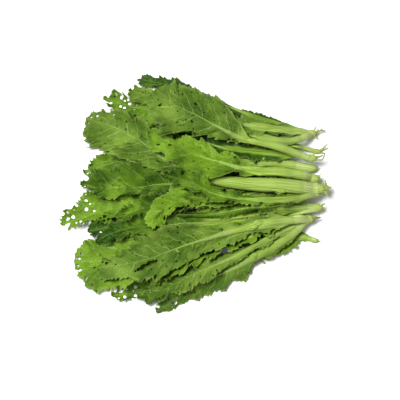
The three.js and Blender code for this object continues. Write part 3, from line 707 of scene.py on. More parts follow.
class CoarseLeaf:
    """A leaf as the solids have it: few rows, five columns, draped over the pile."""

    COLUMNS = np.array([-1.0, -0.5, 0.0, 0.5, 1.0])
    SAMPLES = 14

    def __init__(self, plan: LeafPlan, number: int) -> None:
        """Lays the leaf out in plan.

        Args:
            plan: The leaf.
            number: Its place in the laying order.
        """
        self.plan = plan
        self.number = number
        foot = np.arange(FOOT_ROWS) / FOOT_ROWS * WING_START
        wings = mix(WING_START, plan.stalk, np.arange(WING_ROWS) / WING_ROWS)
        blade = mix(plan.stalk, 1, np.arange(plan.rows + 1) / plan.rows)
        self.sheet = Sheet.lay_out(plan, np.concatenate([foot, wings, blade]), self.COLUMNS, None)
        self.thick = self._thickness()
        self.heights = np.zeros_like(self.thick)
        self.triangles = self._triangles()

    def _thickness(self) -> Array:
        """Returns how thick the leaf is at each row and column."""
        sheet = self.sheet
        rib = sheet.stalk_width * STALK_FLATNESS * mix(1, RIB_FLATNESS, sheet.bladeness)
        rib = np.maximum(rib, RIB_AT_TIP)
        edge = mix(rib * STALK_EDGE, BLADE_THICKNESS, sheet.thin)
        shoulder = mix(rib * mix(STALK_SHOULDER, WING_ROOT, sheet.thin), BLADE_THICKNESS,
                       sheet.bladeness)
        return np.stack([edge, shoulder, rib, shoulder, edge], axis=1)

    def _triangles(self) -> Array:
        """Returns the corners of each cell's two triangles as row and column pairs."""
        corners = []
        for i in range(len(self.sheet.shares) - 1):
            for j in range(4):
                here, ahead, beside, across = (i, j), (i + 1, j), (i, j + 1), (i + 1, j + 1)
                if j < 2:
                    corners += [[here, ahead, beside], [ahead, across, beside]]
                else:
                    corners += [[here, ahead, across], [here, across, beside]]
        return np.array(corners)

    def _own_form(self) -> Array:
        """Returns the height of the leaf's own cupping, waves and pleats."""
        plan = self.plan
        edge = np.abs(self.COLUMNS)[None, :]
        side = np.sign(self.COLUMNS)[None, :]
        row = np.arange(len(self.sheet.shares))[:, None]
        cup = plan.cup * edge ** 2 if plan.cup >= 0 else -plan.cup * (1 - edge ** 2)
        turn = row * WAVE_BY_ROW + self.number * WAVE_BY_LEAF + side * WAVE_BY_SIDE
        wave = plan.wave * edge ** 2 * (0.5 + 0.5 * np.sin(turn))
        pleat = np.where((edge == 0.5) & (row % 2 == 0), PLEAT, 0.0)
        bladeness = self.sheet.bladeness[:, None]
        waving = np.maximum(bladeness, self.sheet.thin[:, None] * WING_WAVE)
        return bladeness * (cup + pleat) + waving * wave

    def _limit_slopes(self, heights: Array) -> None:
        """Raises heights until no neighbour stands more than a set slope above."""
        across = self.sheet.across
        along_gap = SLOPE_ALONG * np.linalg.norm(np.diff(across, axis=0), axis=2)
        side_gap = SLOPE_ACROSS * np.linalg.norm(np.diff(across, axis=1), axis=2)
        for way in (1, -1) * SLOPE_PASSES:
            level, ahead, aside = (grid[::way, ::way] for grid in (heights, along_gap, side_gap))
            for i in range(len(level)):
                if i > 0:
                    level[i] = np.maximum(level[i], level[i - 1] - ahead[i - 1])
                for j in range(1, level.shape[1]):
                    level[i, j] = max(level[i, j], level[i, j - 1] - aside[i, j - 1])

    def _steepness(self) -> Array:
        """Returns the steepest rise from each point to its neighbours."""
        steepest = np.zeros_like(self.heights)
        across = self.sheet.across
        ends = ((np.s_[:-1], np.s_[1:]), (np.s_[:, :-1], np.s_[:, 1:]))
        for axis, both in enumerate(ends):
            gap = np.linalg.norm(np.diff(across, axis=axis), axis=2)
            rise = np.abs(np.diff(self.heights, axis=axis)) / np.maximum(gap, SHORTEST_STEP)
            if axis == 0:
                rise[0] = 0.0
            for end in both:
                steepest[end] = np.maximum(steepest[end], rise)
        return steepest

    def _samples(self, sign: int) -> Array:
        """Returns points all over the top (1) or underside (-1), by triangle."""
        level = self.heights + sign * self.thick / 2
        points = np.concatenate([self.sheet.across, level[..., None]], axis=2)
        corners = points[self.triangles[..., 0], self.triangles[..., 1]]
        steps = [(i, j) for i in range(self.SAMPLES + 1) for j in range(self.SAMPLES + 1 - i)]
        share = np.array(steps) / self.SAMPLES
        weights = np.stack([1 - share.sum(axis=1), share[:, 0], share[:, 1]], axis=1)
        return np.einsum("sk,tkd->tsd", weights, corners)

    def _resting_heights(self, pile: Pile, support: Array) -> Array:
        """Returns where each point would lie: blades follow the support, stalks span it."""
        sheet = self.sheet
        under = pile.look_up(support, sheet.across)
        lies = under + np.where(under > 0, CLEARANCE, 0.0) + self.thick / 2
        thin = sheet.thin[:, None]
        highest = lies.max(axis=1, keepdims=True)
        stalk_rest = mix(highest, lies[:, 1:-1].max(axis=1, keepdims=True), thin)
        edge = np.abs(self.COLUMNS)[None, :] == 1
        lies = np.where(edge, mix(highest, lies, thin), mix(stalk_rest, lies, sheet.bladeness[:, None]))
        self._limit_slopes(lies)
        return lies

    def _bridge_dips(self, heights: Array) -> None:
        """Lets the stiff stalk bridge the dips between what it lies on."""
        shares = self.sheet.shares
        middle = heights.shape[1] // 2
        for _ in range(STIFF_PASSES):
            for i in range(1, len(shares) - 1):
                step = (shares[i] - shares[i - 1]) / (shares[i + 1] - shares[i - 1])
                between = mix(heights[i - 1, middle], heights[i + 1, middle], step)
                raised = max(between - heights[i, middle], 0.0)
                heights[i] += raised * (1 - self.sheet.bladeness[i])

    def drape(self, pile: Pile, crown_height: float) -> None:
        """Lays the leaf on the pile and adds its top to it.

        Args:
            pile: What lies there already.
            crown_height: Height of the plant's crown.
        """
        sheet = self.sheet
        support = pile.support(self.plan.plant)
        lies = self._resting_heights(pile, support)
        distance = (sheet.shares * sheet.length)[:, None]
        held = crown_height * (1 - smooth(distance, *HELD))
        resting = np.maximum(lies, held)
        self._bridge_dips(resting)
        self.heights = resting + self._own_form()
        for _ in range(SETTLING_ROUNDS):
            blade = BLADE_THICKNESS * np.hypot(1, self._steepness())
            least = np.minimum(blade, STEEPEST_BLADE) * sheet.thin[:, None]
            self.thick[1:] = np.maximum(self.thick, least)[1:]
            self._lift_clear(pile, support)
        fused = distance[:, 0] <= CROWNS[self.plan.plant].radius * FUSED_FOOT
        self.heights[fused] = crown_height
        pile.record(self.plan.plant, self._samples(1))

    def _lift_clear(self, pile: Pile, support: Array) -> None:
        """Lifts the corners of each triangle whose underside cuts into the support."""
        points = self._samples(-1)
        top = pile.look_up(support, points)
        floor = np.where(top > 0, top + CLEARANCE, 0.0)
        lift = np.maximum((floor - points[..., 2]).max(axis=1), 0.0)
        raised = np.zeros_like(self.heights)
        for corner in range(3):
            place = (self.triangles[:, corner, 0], self.triangles[:, corner, 1])
            np.maximum.at(raised, place, lift)
        self.heights += raised


@dataclass
class MeshParts:
    """Points, faces and what they carry, gathered for one plant's mesh."""

    points: list[Array] = field(default_factory=list)
    faces: list[Array] = field(default_factory=list)
    skins: list[Array] = field(default_factory=list)
    vein: list[Array] = field(default_factory=list)
    kind: list[Array] = field(default_factory=list)
    count: int = 0

    def add(self, points: Array, faces: Array, skins: Array, vein: Array, kind: Array) -> None:
        """Adds a shell.

        Args:
            points: Corner places in millimetres, n by 3.
            faces: Corner numbers of each four-sided face.
            skins: Material number of each face.
            vein: For each corner, phase of the side veins, place across, and blade share.
            kind: For each corner, tone, distance from the midrib, and place along.
        """
        self.points.append(points)
        self.faces.append(faces + self.count)
        self.skins.append(skins)
        self.vein.append(vein)
        self.kind.append(kind)
        self.count += len(points)

    def build(self, name: str) -> bpy.types.Object:
        """Makes the mesh object, in metres, with its origin at the frame's."""
        points = np.vstack(self.points)
        points[:, :2] -= np.array(CENTRE)
        points[:, 2] = np.maximum(points[:, 2] - FLAT_DEPTH, 0.0)
        faces = np.vstack(self.faces)
        mesh = bpy.data.meshes.new(name)
        mesh.vertices.add(len(points))
        mesh.vertices.foreach_set("co", (points * MM).ravel())
        mesh.loops.add(faces.size)
        mesh.loops.foreach_set("vertex_index", faces.ravel())
        mesh.polygons.add(len(faces))
        mesh.polygons.foreach_set("loop_start", np.arange(0, faces.size, 4))
        mesh.polygons.foreach_set("material_index", np.concatenate(self.skins))
        mesh.update(calc_edges=True)
        for label, values in (("vein", self.vein), ("kind", self.kind)):
            attribute = mesh.attributes.new(label, "FLOAT_VECTOR", "POINT")
            attribute.data.foreach_set("vector", np.vstack(values).ravel())
        mesh.shade_smooth()
        mesh.set_sharp_from_angle(angle=SHARP_ANGLE)
        mesh.validate()
        made = bpy.data.objects.new(name, mesh)
        bpy.context.scene.collection.objects.link(made)
        return made


class FineLeaf:
    """A leaf as it is seen: a thin sheet with teeth, veins, ruffles and holes."""

    def __init__(self, coarse: CoarseLeaf) -> None:
        """Lays the fine sheet out along its coarse one."""
        plan = coarse.plan
        self.plan = plan
        self.coarse = coarse
        self.seed = 100 + coarse.number * 17
        length = coarse.sheet.length
        fineness = LACE_FINENESS if plan.lacy > LACY_FROM else 1.0
        shares = self._rows(length, fineness)
        widest = max(*plan.near, *plan.far)
        half_columns = int(np.clip(widest / (COLUMN_STEP * fineness), *HALF_COLUMNS))
        t = np.linspace(-1, 1, 2 * half_columns + 1)
        columns = np.sign(t) * np.abs(t) ** COLUMN_CROWDING
        self.sheet = Sheet.lay_out(plan, shares, columns, self._margin(shares, length))
        self.along = (shares * length)[:, None]
        self.offset = self.sheet.offset()
        self.side = np.sign(columns)[None, :]
        self.edge = np.abs(columns)[None, :]
        self.bladeness = self.sheet.bladeness[:, None]
        self.rib_half = self._rib_half()[:, None]
        self.phase = self._vein_phase()

    def _rows(self, length: float, fineness: float) -> Array:
        """Returns the places of the rows: wide apart in the foot, close in the blade.

        Args:
            length: Length of the leaf.
            fineness: How close the rows of the blade are, over their usual distance.
        """
        plan = self.plan
        foot_end = WING_START if plan.wing > 0 else plan.stalk
        pieces = []
        for start, end, step in (
            (0.0, foot_end, STALK_STEP),
            (foot_end, plan.stalk, WING_STEP),
            (plan.stalk, 1.0, ROW_STEP * fineness),
        ):
            count = max(int((end - start) * length / step), 0)
            pieces.append(mix(start, end, np.arange(count) / max(count, 1)))
        return np.concatenate([*pieces, [1.0]])

    def _noise(self, step: int, wavelength: float, waves: int = 12) -> Array:
        """Returns noise over the leaf's own places, with a seed some steps from the leaf's."""
        return Ripple(self.seed + step, wavelength, waves).at(self.along, self.offset * self.side)

    def _side_noise(self, step: int, wavelength: float, apart: float) -> Array:
        """Returns noise along the leaf that differs between its sides, as if they were far apart."""
        return Ripple(self.seed + step, wavelength).at(self.along, self.side * apart)

    def _rib_half(self) -> Array:
        """Returns half the width of the stalk, or of the narrower midrib in a blade."""
        narrow = mix(1.0, 0.3, smooth(self.sheet.in_blade, 0.0, 0.5))
        return np.maximum(self.sheet.stalk_width / 2 * narrow, 0.4)

    def _margin(self, shares: Array, length: float) -> tuple[Array, Array]:
        """Returns the edge's lobes and its teeth, as steps over its reach."""
        plan = self.plan
        along = shares * length
        in_blade = blade_share(plan, shares)
        cut = np.maximum(smooth(in_blade, 0.0, 0.1), wing_share(shares) * (plan.wing > 0))
        rough = mix(1.5, 1.0, smooth(in_blade, 0.0, 0.3))
        lobed = []
        toothed = []
        for side, values in ((0, plan.near), (1, plan.far)):
            half = np.maximum(outline(plan, values, shares), 3.0)
            drift, swelling, lobing, nicking = (
                size * Ripple(self.seed + step + side, wavelength).at(along)
                for step, (size, wavelength) in ((0, BEAT_VARIES), (5, TEETH_VARY), (9, LOBES), (17, NICKS))
            )
            beat = along / TEETH_SPACING + drift
            saw = beat - np.floor(beat)
            teeth = np.where(saw < TOOTH_BACK, saw / TOOTH_BACK, (1 - saw) / (1 - TOOTH_BACK)) - 0.5
            notches = teeth * (TEETH + swelling) + nicking
            lobed.append(np.clip(lobing * rough / half, *LOBE_LIMITS) * cut)
            toothed.append(np.clip(notches / half, *TOOTH_LIMITS) * cut)
        return np.stack(lobed, axis=1), np.stack(toothed, axis=1)

    def _vein_phase(self) -> Array:
        """Returns, for each row and column, how many side veins lie before it."""
        along = self.sheet.in_blade * (1 - self.plan.stalk) * self.sheet.length
        warp = 0.3 * Ripple(self.seed + 21, 45.0).at(along)
        offset = np.where(self.sheet.columns < 0, 0.0, 0.45)
        arch = offset - 0.5 * self.sheet.columns ** 2
        wobble = 0.1 * self._noise(23, 22.0)
        return (along / VEIN_SPACING + warp)[:, None] + arch[None, :] + wobble

    def _middle(self) -> Array:
        """Returns the height of the middle surface, smoothed from the coarse leaf."""
        coarse = self.coarse
        rows = np.interp(self.sheet.shares, coarse.sheet.shares, np.arange(len(coarse.heights)))
        by_row = curve_through(coarse.heights, rows, rounded=True)
        return curve_through(by_row.T, (self.sheet.columns + 1) * 2).T

    def _relief(self) -> Array:
        """Returns the edge's ruffles and upward curl, the swelling between veins, and crinkles."""
        sheet = self.sheet
        edge = self.edge
        reach = np.where(self.side < 0, sheet.reach[:, :1], sheet.reach[:, 1:])
        room = smooth(reach, 3, 12)
        ruffle = RUFFLE[0] * edge ** 3 * self._side_noise(31, RUFFLE[1], 40)
        frill = FRILL[0] * edge ** 5 * self._side_noise(37, FRILL[1], 40)
        fold = FOLD[0] * (0.3 + 0.7 * edge) * self._noise(33, FOLD[1], 9)
        waves = self.plan.ruffle * (ruffle + frill) + fold
        swell = np.abs(np.sin(math.pi * self.phase)) ** 0.8 * (0.7 + 0.3 * self._side_noise(39, 30.0, 30))
        inner = smooth(self.offset, 1.0, 5.0) * (1 - smooth(edge, 0.75, 1.0))
        swelling = SWELLING_UPPER if self.plan.shows is Shows.UPPER else SWELLING_UNDER
        small = LUMPS[0] * self._noise(41, LUMPS[1]) + CRINKLE[0] * self._noise(43, CRINKLE[1])
        curl = CURL * self.plan.ruffle * edge ** 3
        surface = swell * inner * swelling + curl + small * inner
        return room * (sheet.thin[:, None] * waves + self.bladeness * surface)

    def _thickness(self) -> Array:
        """Returns the sheet's thickness: an oval stalk that thins to a midrib in a blade."""
        height = 2 * self.rib_half * STALK_FLATNESS * mix(1, RIB_FLATNESS, self.bladeness)
        inside = 1 - (self.offset / self.rib_half) ** 2
        return np.maximum(height * np.sqrt(np.clip(inside, 0, 1)), FINE_BLADE)

    def _side_veins(self) -> Array:
        """Returns the height of the side veins, which stand out from the underside."""
        spacing = np.abs(self.phase - np.floor(self.phase) - 0.5)
        ridge = smooth(spacing, 0.43, 0.5)
        return SIDE_VEIN_HEIGHT * ridge * (1 - smooth(self.edge, 0.5, 1.0)) * self.bladeness

    def lay(self, pile: Pile, parts: MeshParts) -> None:
        """Lays the sheet on the fine pile and adds its shell to the plant's mesh."""
        sheet = self.sheet
        thick = self._thickness()
        heights = self._middle() + self._relief() - NESTLING * self.bladeness
        support = pile.support(self.plan.plant)
        under = pile.look_up(support, sheet.across)
        floor = np.where(under > 0, under + FINE_GAP, FLAT_DEPTH)
        lift = np.maximum(floor - (heights - thick / 2), 0.0)
        for _ in range(3):
            lift = np.maximum(lift, self._blur(lift))
        middle = np.concatenate([sheet.across, (heights + lift)[..., None]], axis=2)
        normal = self._normals(middle)
        proud = PROUD_SIDE * self.bladeness
        veined = thick / 2 * (1 + proud) + self._side_veins()
        grooved = thick / 2 * (1 - proud) - self._groove(thick)
        up, down = (grooved, veined) if self.plan.shows is Shows.UPPER else (veined, grooved)
        top = middle + normal * up[..., None]
        bottom = middle - normal * down[..., None]
        pile.record(self.plan.plant, top)
        pile.record(self.plan.plant, (top[:-1, :-1] + top[1:, 1:]) / 2)
        self._add_shell(top, bottom, parts)

    def _groove(self, thick: Array) -> Array:
        """Returns how deep the channel along the stalk's upper side is."""
        channel = np.exp(-(self.offset / (0.5 * self.rib_half)) ** 2)
        start = smooth(self.along, 15, 50) * (1 - self.bladeness)
        return STALK_GROOVE * thick * channel * start

    @staticmethod
    def _blur(values: Array) -> Array:
        """Returns values averaged with their neighbours."""
        padded = np.pad(values, 1, mode="edge")
        rows, columns = values.shape
        total = sum(padded[1 + i:1 + i + rows, 1 + j:1 + j + columns] for i, j in NEIGHBOURS)
        return total / len(NEIGHBOURS)

    @staticmethod
    def _normals(middle: Array) -> Array:
        """Returns unit normals of the middle surface, pointing up."""
        normal = np.cross(np.gradient(middle, axis=1), np.gradient(middle, axis=0))
        normal *= np.where(normal[..., 2:] < 0, -1.0, 1.0)
        return normal / np.maximum(np.linalg.norm(normal, axis=2, keepdims=True), 1e-9)

    def _frailty(self) -> Array:
        """Returns how likely each point is to have been eaten, from 0 to 1."""
        near_tip = smooth(self.sheet.shares, 0.74, 0.95)[:, None]
        wings = self.sheet.thin[:, None] - self.bladeness
        worn = 0.5 * max(self.plan.lacy - 1, 0)
        rim = 0.3 * self.edge ** 4
        return np.clip(near_tip * (0.4 + 0.6 * self.edge) + rim + 0.3 * wings + worn, 0, 1)

    def _lace(self) -> list[tuple[Array, float]]:
        """Returns the middle and radius of each round hole that insects have left."""
        draw = np.random.default_rng(self.seed + 71)
        rows, columns = self.offset.shape
        frailty = self._frailty()
        holes: list[tuple[Array, float]] = []
        for _ in range(int(LACE_TRIES * self.plan.lacy)):
            row = int(draw.integers(rows))
            column = int(draw.integers(columns))
            radius = draw.uniform(*LACE_RADIUS)
            middle = self.sheet.across[row, column]
            gaps = [float(np.hypot(*(middle - other))) - size for other, size in holes]
            if draw.random() > frailty[row, column] or min(gaps, default=WIDEST) < radius + STRAND:
                continue
            if self.offset[row, column] > self.rib_half[row, 0] + radius + STRAND:
                holes.append((middle, radius))
        return holes

    def _eaten(self) -> Array:
        """Returns a field that is below 0 where the blade has been eaten away."""
        x, y = self.sheet.across[..., 0], self.sheet.across[..., 1]
        tip = smooth(self.sheet.shares, 0.9, 1.0)[:, None]
        rim = np.maximum(smooth(self.edge, 0.5, 1.0), tip)
        gnawed = Ripple(self.seed + 75, GNAWED_WAVE, 12).at(x, y)
        nibbled = Ripple(self.seed + 77, NIBBLED_WAVE, 12).at(x, y)
        keep = 3.0 - rim * (1.75 + 0.6 * self.plan.lacy + 0.75 * nibbled) - 0.8 * tip - gnawed
        uneven = 1 + UNEVEN_HOLES[0] * Ripple(self.seed + 73, UNEVEN_HOLES[1], 8).at(x, y)
        bites = [((bite_x, bite_y), radius) for bite_x, bite_y, radius in self.plan.bites]
        for middle, radius in self._lace() + bites:
            away = np.hypot(x - middle[0], y - middle[1])
            keep = np.minimum(keep, away - radius * uneven)
        return np.where(self.offset < self.rib_half + 1.2, np.maximum(keep, 1.0), keep)

    def _trim(self, faces: tuple[Array, Array]) -> Array:
        """Cuts eaten parts out of both faces of the sheet, and returns the cells that stay.

        Args:
            faces: Points of the top and of the underside, which are moved to the cut.
        """
        eaten_field = self._eaten()
        rows, columns = eaten_field.shape
        eaten = eaten_field < 0
        padded = np.pad(eaten_field, 1, constant_values=-np.inf)
        best = np.full((rows, columns), -np.inf)
        source = np.zeros((rows, columns, 2), dtype=int)
        row, column = np.mgrid[0:rows, 0:columns]
        for down, along in NEIGHBOURS:
            value = padded[1 + down:1 + down + rows, 1 + along:1 + along + columns]
            better = value > best
            best = np.where(better, value, best)
            source[better] = np.stack([row + down, column + along], axis=2)[better]
        moved = eaten & (best > 0)
        depth = eaten_field[moved]
        share = (depth / (depth - best[moved]))[:, None]
        for points in faces:
            kept = points[source[moved][:, 0], source[moved][:, 1]]
            points[moved] += (kept - points[moved]) * share
        whole = ~eaten
        keep = whole[:-1, :-1] | whole[1:, :-1] | whole[:-1, 1:] | whole[1:, 1:]
        return self._held_by_midrib(keep)

    @staticmethod
    def _held_by_midrib(keep: Array) -> Array:
        """Returns the cells that hang together with the midrib, without loose scraps."""
        middle = keep.shape[1] // 2
        held = np.zeros_like(keep)
        held[:, middle - 1:middle + 1] = True
        held &= keep
        while True:
            padded = np.pad(held, 1)
            grown = padded[:-2, 1:-1] | padded[2:, 1:-1] | padded[1:-1, :-2] | padded[1:-1, 2:]
            wider = held | (grown & keep)
            if (wider == held).all():
                return held
            held = wider

    def _pierce(self, faces: tuple[Array, Array], keep: Array) -> None:
        """Bites small holes out: cells round a point go, and the ring of points round it closes in.

        Args:
            faces: Points of the top and of the underside.
            keep: Cells that stay.
        """
        rows, columns = self.offset.shape
        draw = np.random.default_rng(self.seed + 50)
        blade_rows = np.nonzero(self.sheet.in_blade > PIERCED_FROM)[0][:-6]
        ring = [(-1, -1), (-1, 0), (-1, 1), (0, 1), (1, 1), (1, 0), (1, -1), (0, -1)]
        for _ in range(self.plan.holes):
            row = int(draw.choice(blade_rows))
            column = int(draw.integers(3, columns - 3))
            size = draw.uniform(*(PINHOLE if draw.random() < SMALL_SHARE else LARGER_PINHOLE))
            block = keep[row - 3:row + 3, column - 3:column + 3]
            if self.offset[row, column] < self.rib_half[row, 0] + 2.5 or not block.all():
                continue
            keep[row - 1:row + 1, column - 1:column + 1] = False
            for down, along in ring:
                uneven = draw.uniform(0.75, 1.2)
                for face in faces:
                    spoke = face[row + down, column + along] - face[row, column]
                    reach = max(float(np.linalg.norm(spoke)), 1e-6)
                    radius = min(size * uneven, reach * 1.3)
                    face[row + down, column + along] = face[row, column] + spoke * radius / reach

    def _add_shell(self, top: Array, bottom: Array, parts: MeshParts) -> None:
        """Closes both faces of the sheet with a rim round its edge and its holes."""
        keep = self._trim((top, bottom))
        self._pierce((top, bottom), keep)
        rows, columns = top.shape[:2]
        number = np.arange(rows * columns).reshape(rows, columns)
        under = number + rows * columns
        i, j = np.nonzero(keep)
        upper = np.stack([number[i, j], number[i, j + 1], number[i + 1, j + 1], number[i + 1, j]], axis=1)
        lower = np.stack([under[i, j], under[i + 1, j], under[i + 1, j + 1], under[i, j + 1]], axis=1)
        padded = np.pad(keep, 1)
        rims = []
        for step, start, end in (
            ((-1, 0), (0, 0), (0, 1)),
            ((1, 0), (1, 1), (1, 0)),
            ((0, -1), (1, 0), (0, 0)),
            ((0, 1), (0, 1), (1, 1)),
        ):
            beyond = padded[1 + step[0]:rows + step[0], 1 + step[1]:columns + step[1]]
            i, j = np.nonzero(keep & ~beyond)
            a = (i + start[0], j + start[1])
            b = (i + end[0], j + end[1])
            rims.append(np.stack([under[a], under[b], number[b], number[a]], axis=1))
        rim = np.vstack(rims)
        faces = np.vstack([upper, lower, rim])
        shown, hidden = Skin.UPPER, Skin.UNDER
        if self.plan.shows is Shows.UNDER:
            shown, hidden = hidden, shown
        skins = np.repeat([shown.value, hidden.value, shown.value], [len(upper), len(lower), len(rim)])
        points = np.vstack([top.reshape(-1, 3), bottom.reshape(-1, 3)])
        vein, kind = self._coordinates()
        used = np.unique(faces)
        renumber = np.full(len(points), -1)
        renumber[used] = np.arange(len(used))
        parts.add(points[used], renumber[faces], skins, np.vstack([vein, vein])[used],
                  np.vstack([kind, kind])[used])

    def _coordinates(self) -> tuple[Array, Array]:
        """Returns what the finish reads at each point of a face of the sheet."""
        sheet = self.sheet
        shape = self.phase.shape
        across = np.broadcast_to(self.edge, shape)
        past_stalk = np.maximum(self.bladeness, sheet.thin[:, None] * smooth(across, 0.5, 0.62))
        vein = np.stack([self.phase, across, past_stalk], axis=2).reshape(-1, 3)
        tone = np.full(shape, self.plan.tone)
        along = np.broadcast_to(sheet.shares[:, None], shape)
        kind = np.stack([tone, self.offset / self.rib_half, along], axis=2).reshape(-1, 3)
        return vein, kind


class RootStub:
    """A plant's crown and the short root below it, as rings of points along a bent line."""

    SIDES = 28
    THIN_SIDES = 10
    RINGS = 6
    LUMP_WAVE = 1.6
    THREAD_TURN = (-0.8, 0.8)
    THREAD_START = (0.5, 0.9)
    THREAD_RUN = (0.5, 1.0)
    THREAD_RADIUS = (0.09, 0.15)
    THREAD_DRY = 0.2

    def __init__(self, plant: str, height: float) -> None:
        """Takes the plant's crown and its height above the table."""
        self.crown = CROWNS[plant]
        self.height = height
        self.draw = np.random.default_rng(900 + int(plant.split("_")[1]))

    @staticmethod
    def height_on(pile: Pile, plant: str) -> float:
        """Returns how high a crown lies on what is already there, and adds it to the pile."""
        crown = CROWNS[plant]
        rings = crown.stations()
        fine = np.linspace(0, len(rings) - 1, 40)
        x, y, size = (np.interp(fine, range(len(rings)), values)[:, None] for values in zip(*rings))
        angle = np.linspace(0, 2 * math.pi, 33)[None, :]
        radius = crown.radius * size
        points = np.stack([
            crown.at[0] + x + 0 * angle,
            crown.at[1] + y + np.cos(angle) * radius,
            np.sin(angle) * radius * CROWN_FLATNESS,
        ], axis=2)
        top = pile.look_up(pile.support(plant), points)
        height = float((top + np.where(top > 0, CLEARANCE, 0) - points[..., 2]).max()) + crown.rise
        points[..., 2] += height
        pile.record(plant, points)
        return height

    def add_to(self, parts: MeshParts) -> None:
        """Adds the crown with its main root, its rootlets and its frayed end."""
        crown = self.crown
        self._tube(parts, np.array(crown.stations()), crown.radius, crown.dry, self.SIDES)
        for rootlet in crown.rootlets:
            thin = np.linspace(1.0, 0.4, len(rootlet.line))
            stations = [(x, y, size) for (x, y), size in zip(rootlet.line, thin)]
            self._tube(parts, np.array(stations), rootlet.radius, rootlet.dry, self.THIN_SIDES)
        for _ in range(crown.tuft):
            turn = self.draw.uniform(*self.THREAD_TURN)
            start = self.draw.uniform(*self.THREAD_START) * crown.radius
            run = self.draw.uniform(*self.THREAD_RUN) * crown.fray
            side = math.sin(turn) * start
            stations = [(start, side, 1.0), (start + 0.6 * run, side + 0.4 * run * turn, 0.9),
                        (start + run, side + run * turn, 0.4)]
            radius = self.draw.uniform(*self.THREAD_RADIUS) * crown.fray
            self._tube(parts, np.array(stations), radius, self.THREAD_DRY, self.THIN_SIDES)

    def _tube(self, parts: MeshParts, stations: Array, radius: float, dry: float, sides: int) -> None:
        """Adds a closed round body with lengthwise ribs.

        Args:
            parts: The plant's mesh.
            stations: Place along, place aside and size of each ring, from the crown's middle.
            radius: Radius where size is 1.
            dry: How brown the end is, from 0 to 1.
            sides: Number of points in a ring.
        """
        count = self.RINGS * (len(stations) - 1) + 1
        rows = curve_through(stations, np.linspace(0, len(stations) - 1, count))
        ahead = np.gradient(rows[:, :2], axis=0)
        ahead /= np.linalg.norm(ahead, axis=1, keepdims=True)
        angle = 2 * math.pi * np.arange(sides) / sides
        lumps = Ripple(int(self.draw.integers(1, 9999)), self.LUMP_WAVE)
        noise = lumps.at(angle[None, :] * 2, rows[:, :1])
        ribs = np.cos(sides / 3 * angle)[None, :]
        size = radius * rows[:, 2:] * (1 + 0.08 * noise + 0.04 * ribs)
        aside = np.cos(angle)[None, :] * size
        x = self.crown.at[0] + rows[:, :1] - ahead[:, 1:] * aside
        y = self.crown.at[1] + rows[:, 1:2] + ahead[:, :1] * aside
        z = self.height + CROWN_FLATNESS * np.sin(angle)[None, :] * size
        points = np.stack([x, y, np.maximum(z, FLAT_DEPTH)], axis=2).reshape(-1, 3)
        number = np.arange(count * sides).reshape(count, sides)
        turned = np.roll(number, -1, axis=1)
        side = np.stack([number[:-1], turned[:-1], turned[1:], number[1:]], axis=2).reshape(-1, 4)
        faces = np.vstack([side, self._cap(number[0][::-1]), self._cap(number[-1])])
        vein = np.zeros((len(points), 3))
        vein[:, 1] = np.repeat(np.hypot(rows[:, 0], rows[:, 1]), sides)
        vein[:, 2] = np.repeat(dry * smooth(np.arange(count) / count, 0.4, 1.0), sides)
        kind = np.zeros((len(points), 3))
        kind[:, 1] = np.tile(angle, count)
        parts.add(points, faces, np.full(len(faces), Skin.ROOT.value), vein, kind)

    @staticmethod
    def _cap(ring: Array) -> Array:
        """Closes a ring with four-sided faces."""
        last = len(ring) - 1
        return np.array([(ring[k], ring[k + 1], ring[last - 1 - k], ring[last - k])
                         for k in range(len(ring) // 2 - 1)])


class Term:
    """A number in a node tree, so that shader maths reads as an expression."""

    def __init__(self, graph: "Graph", socket: bpy.types.NodeSocket) -> None:
        """Wraps an output socket."""
        self.graph = graph
        self.socket = socket

    def _math(self, operation: str, *values: "Term | float") -> "Term":
        """Adds a Math node over values."""
        inputs = dict(enumerate(values))
        return self.graph.value("ShaderNodeMath", {"operation": operation}, inputs)

    def __add__(self, other: "Term | float") -> "Term":
        """Sum."""
        return self._math("ADD", self, other)

    __radd__ = __add__

    def __sub__(self, other: "Term | float") -> "Term":
        """Difference."""
        return self._math("SUBTRACT", self, other)

    def __rsub__(self, other: "Term | float") -> "Term":
        """Difference from a number."""
        return self._math("SUBTRACT", other, self)

    def __mul__(self, other: "Term | float") -> "Term":
        """Product."""
        return self._math("MULTIPLY", self, other)

    __rmul__ = __mul__

    def fraction(self) -> "Term":
        """What is left over a whole number."""
        return self._math("FRACT", self)

    def size(self) -> "Term":
        """Value without its sign."""
        return self._math("ABSOLUTE", self)

    def larger(self, other: "Term | float") -> "Term":
        """The larger of two values."""
        return self._math("MAXIMUM", self, other)

    def between(self, low: float, high: float) -> "Term":
        """Smooth rise from 0 at low to 1 at high, or a fall where low is above high."""
        rising = low < high
        inputs = {"Value": self, "From Min": min(low, high), "From Max": max(low, high),
                  "To Min": 0.0 if rising else 1.0, "To Max": 1.0 if rising else 0.0}
        return self.graph.value("ShaderNodeMapRange", {"interpolation_type": "SMOOTHSTEP"}, inputs)


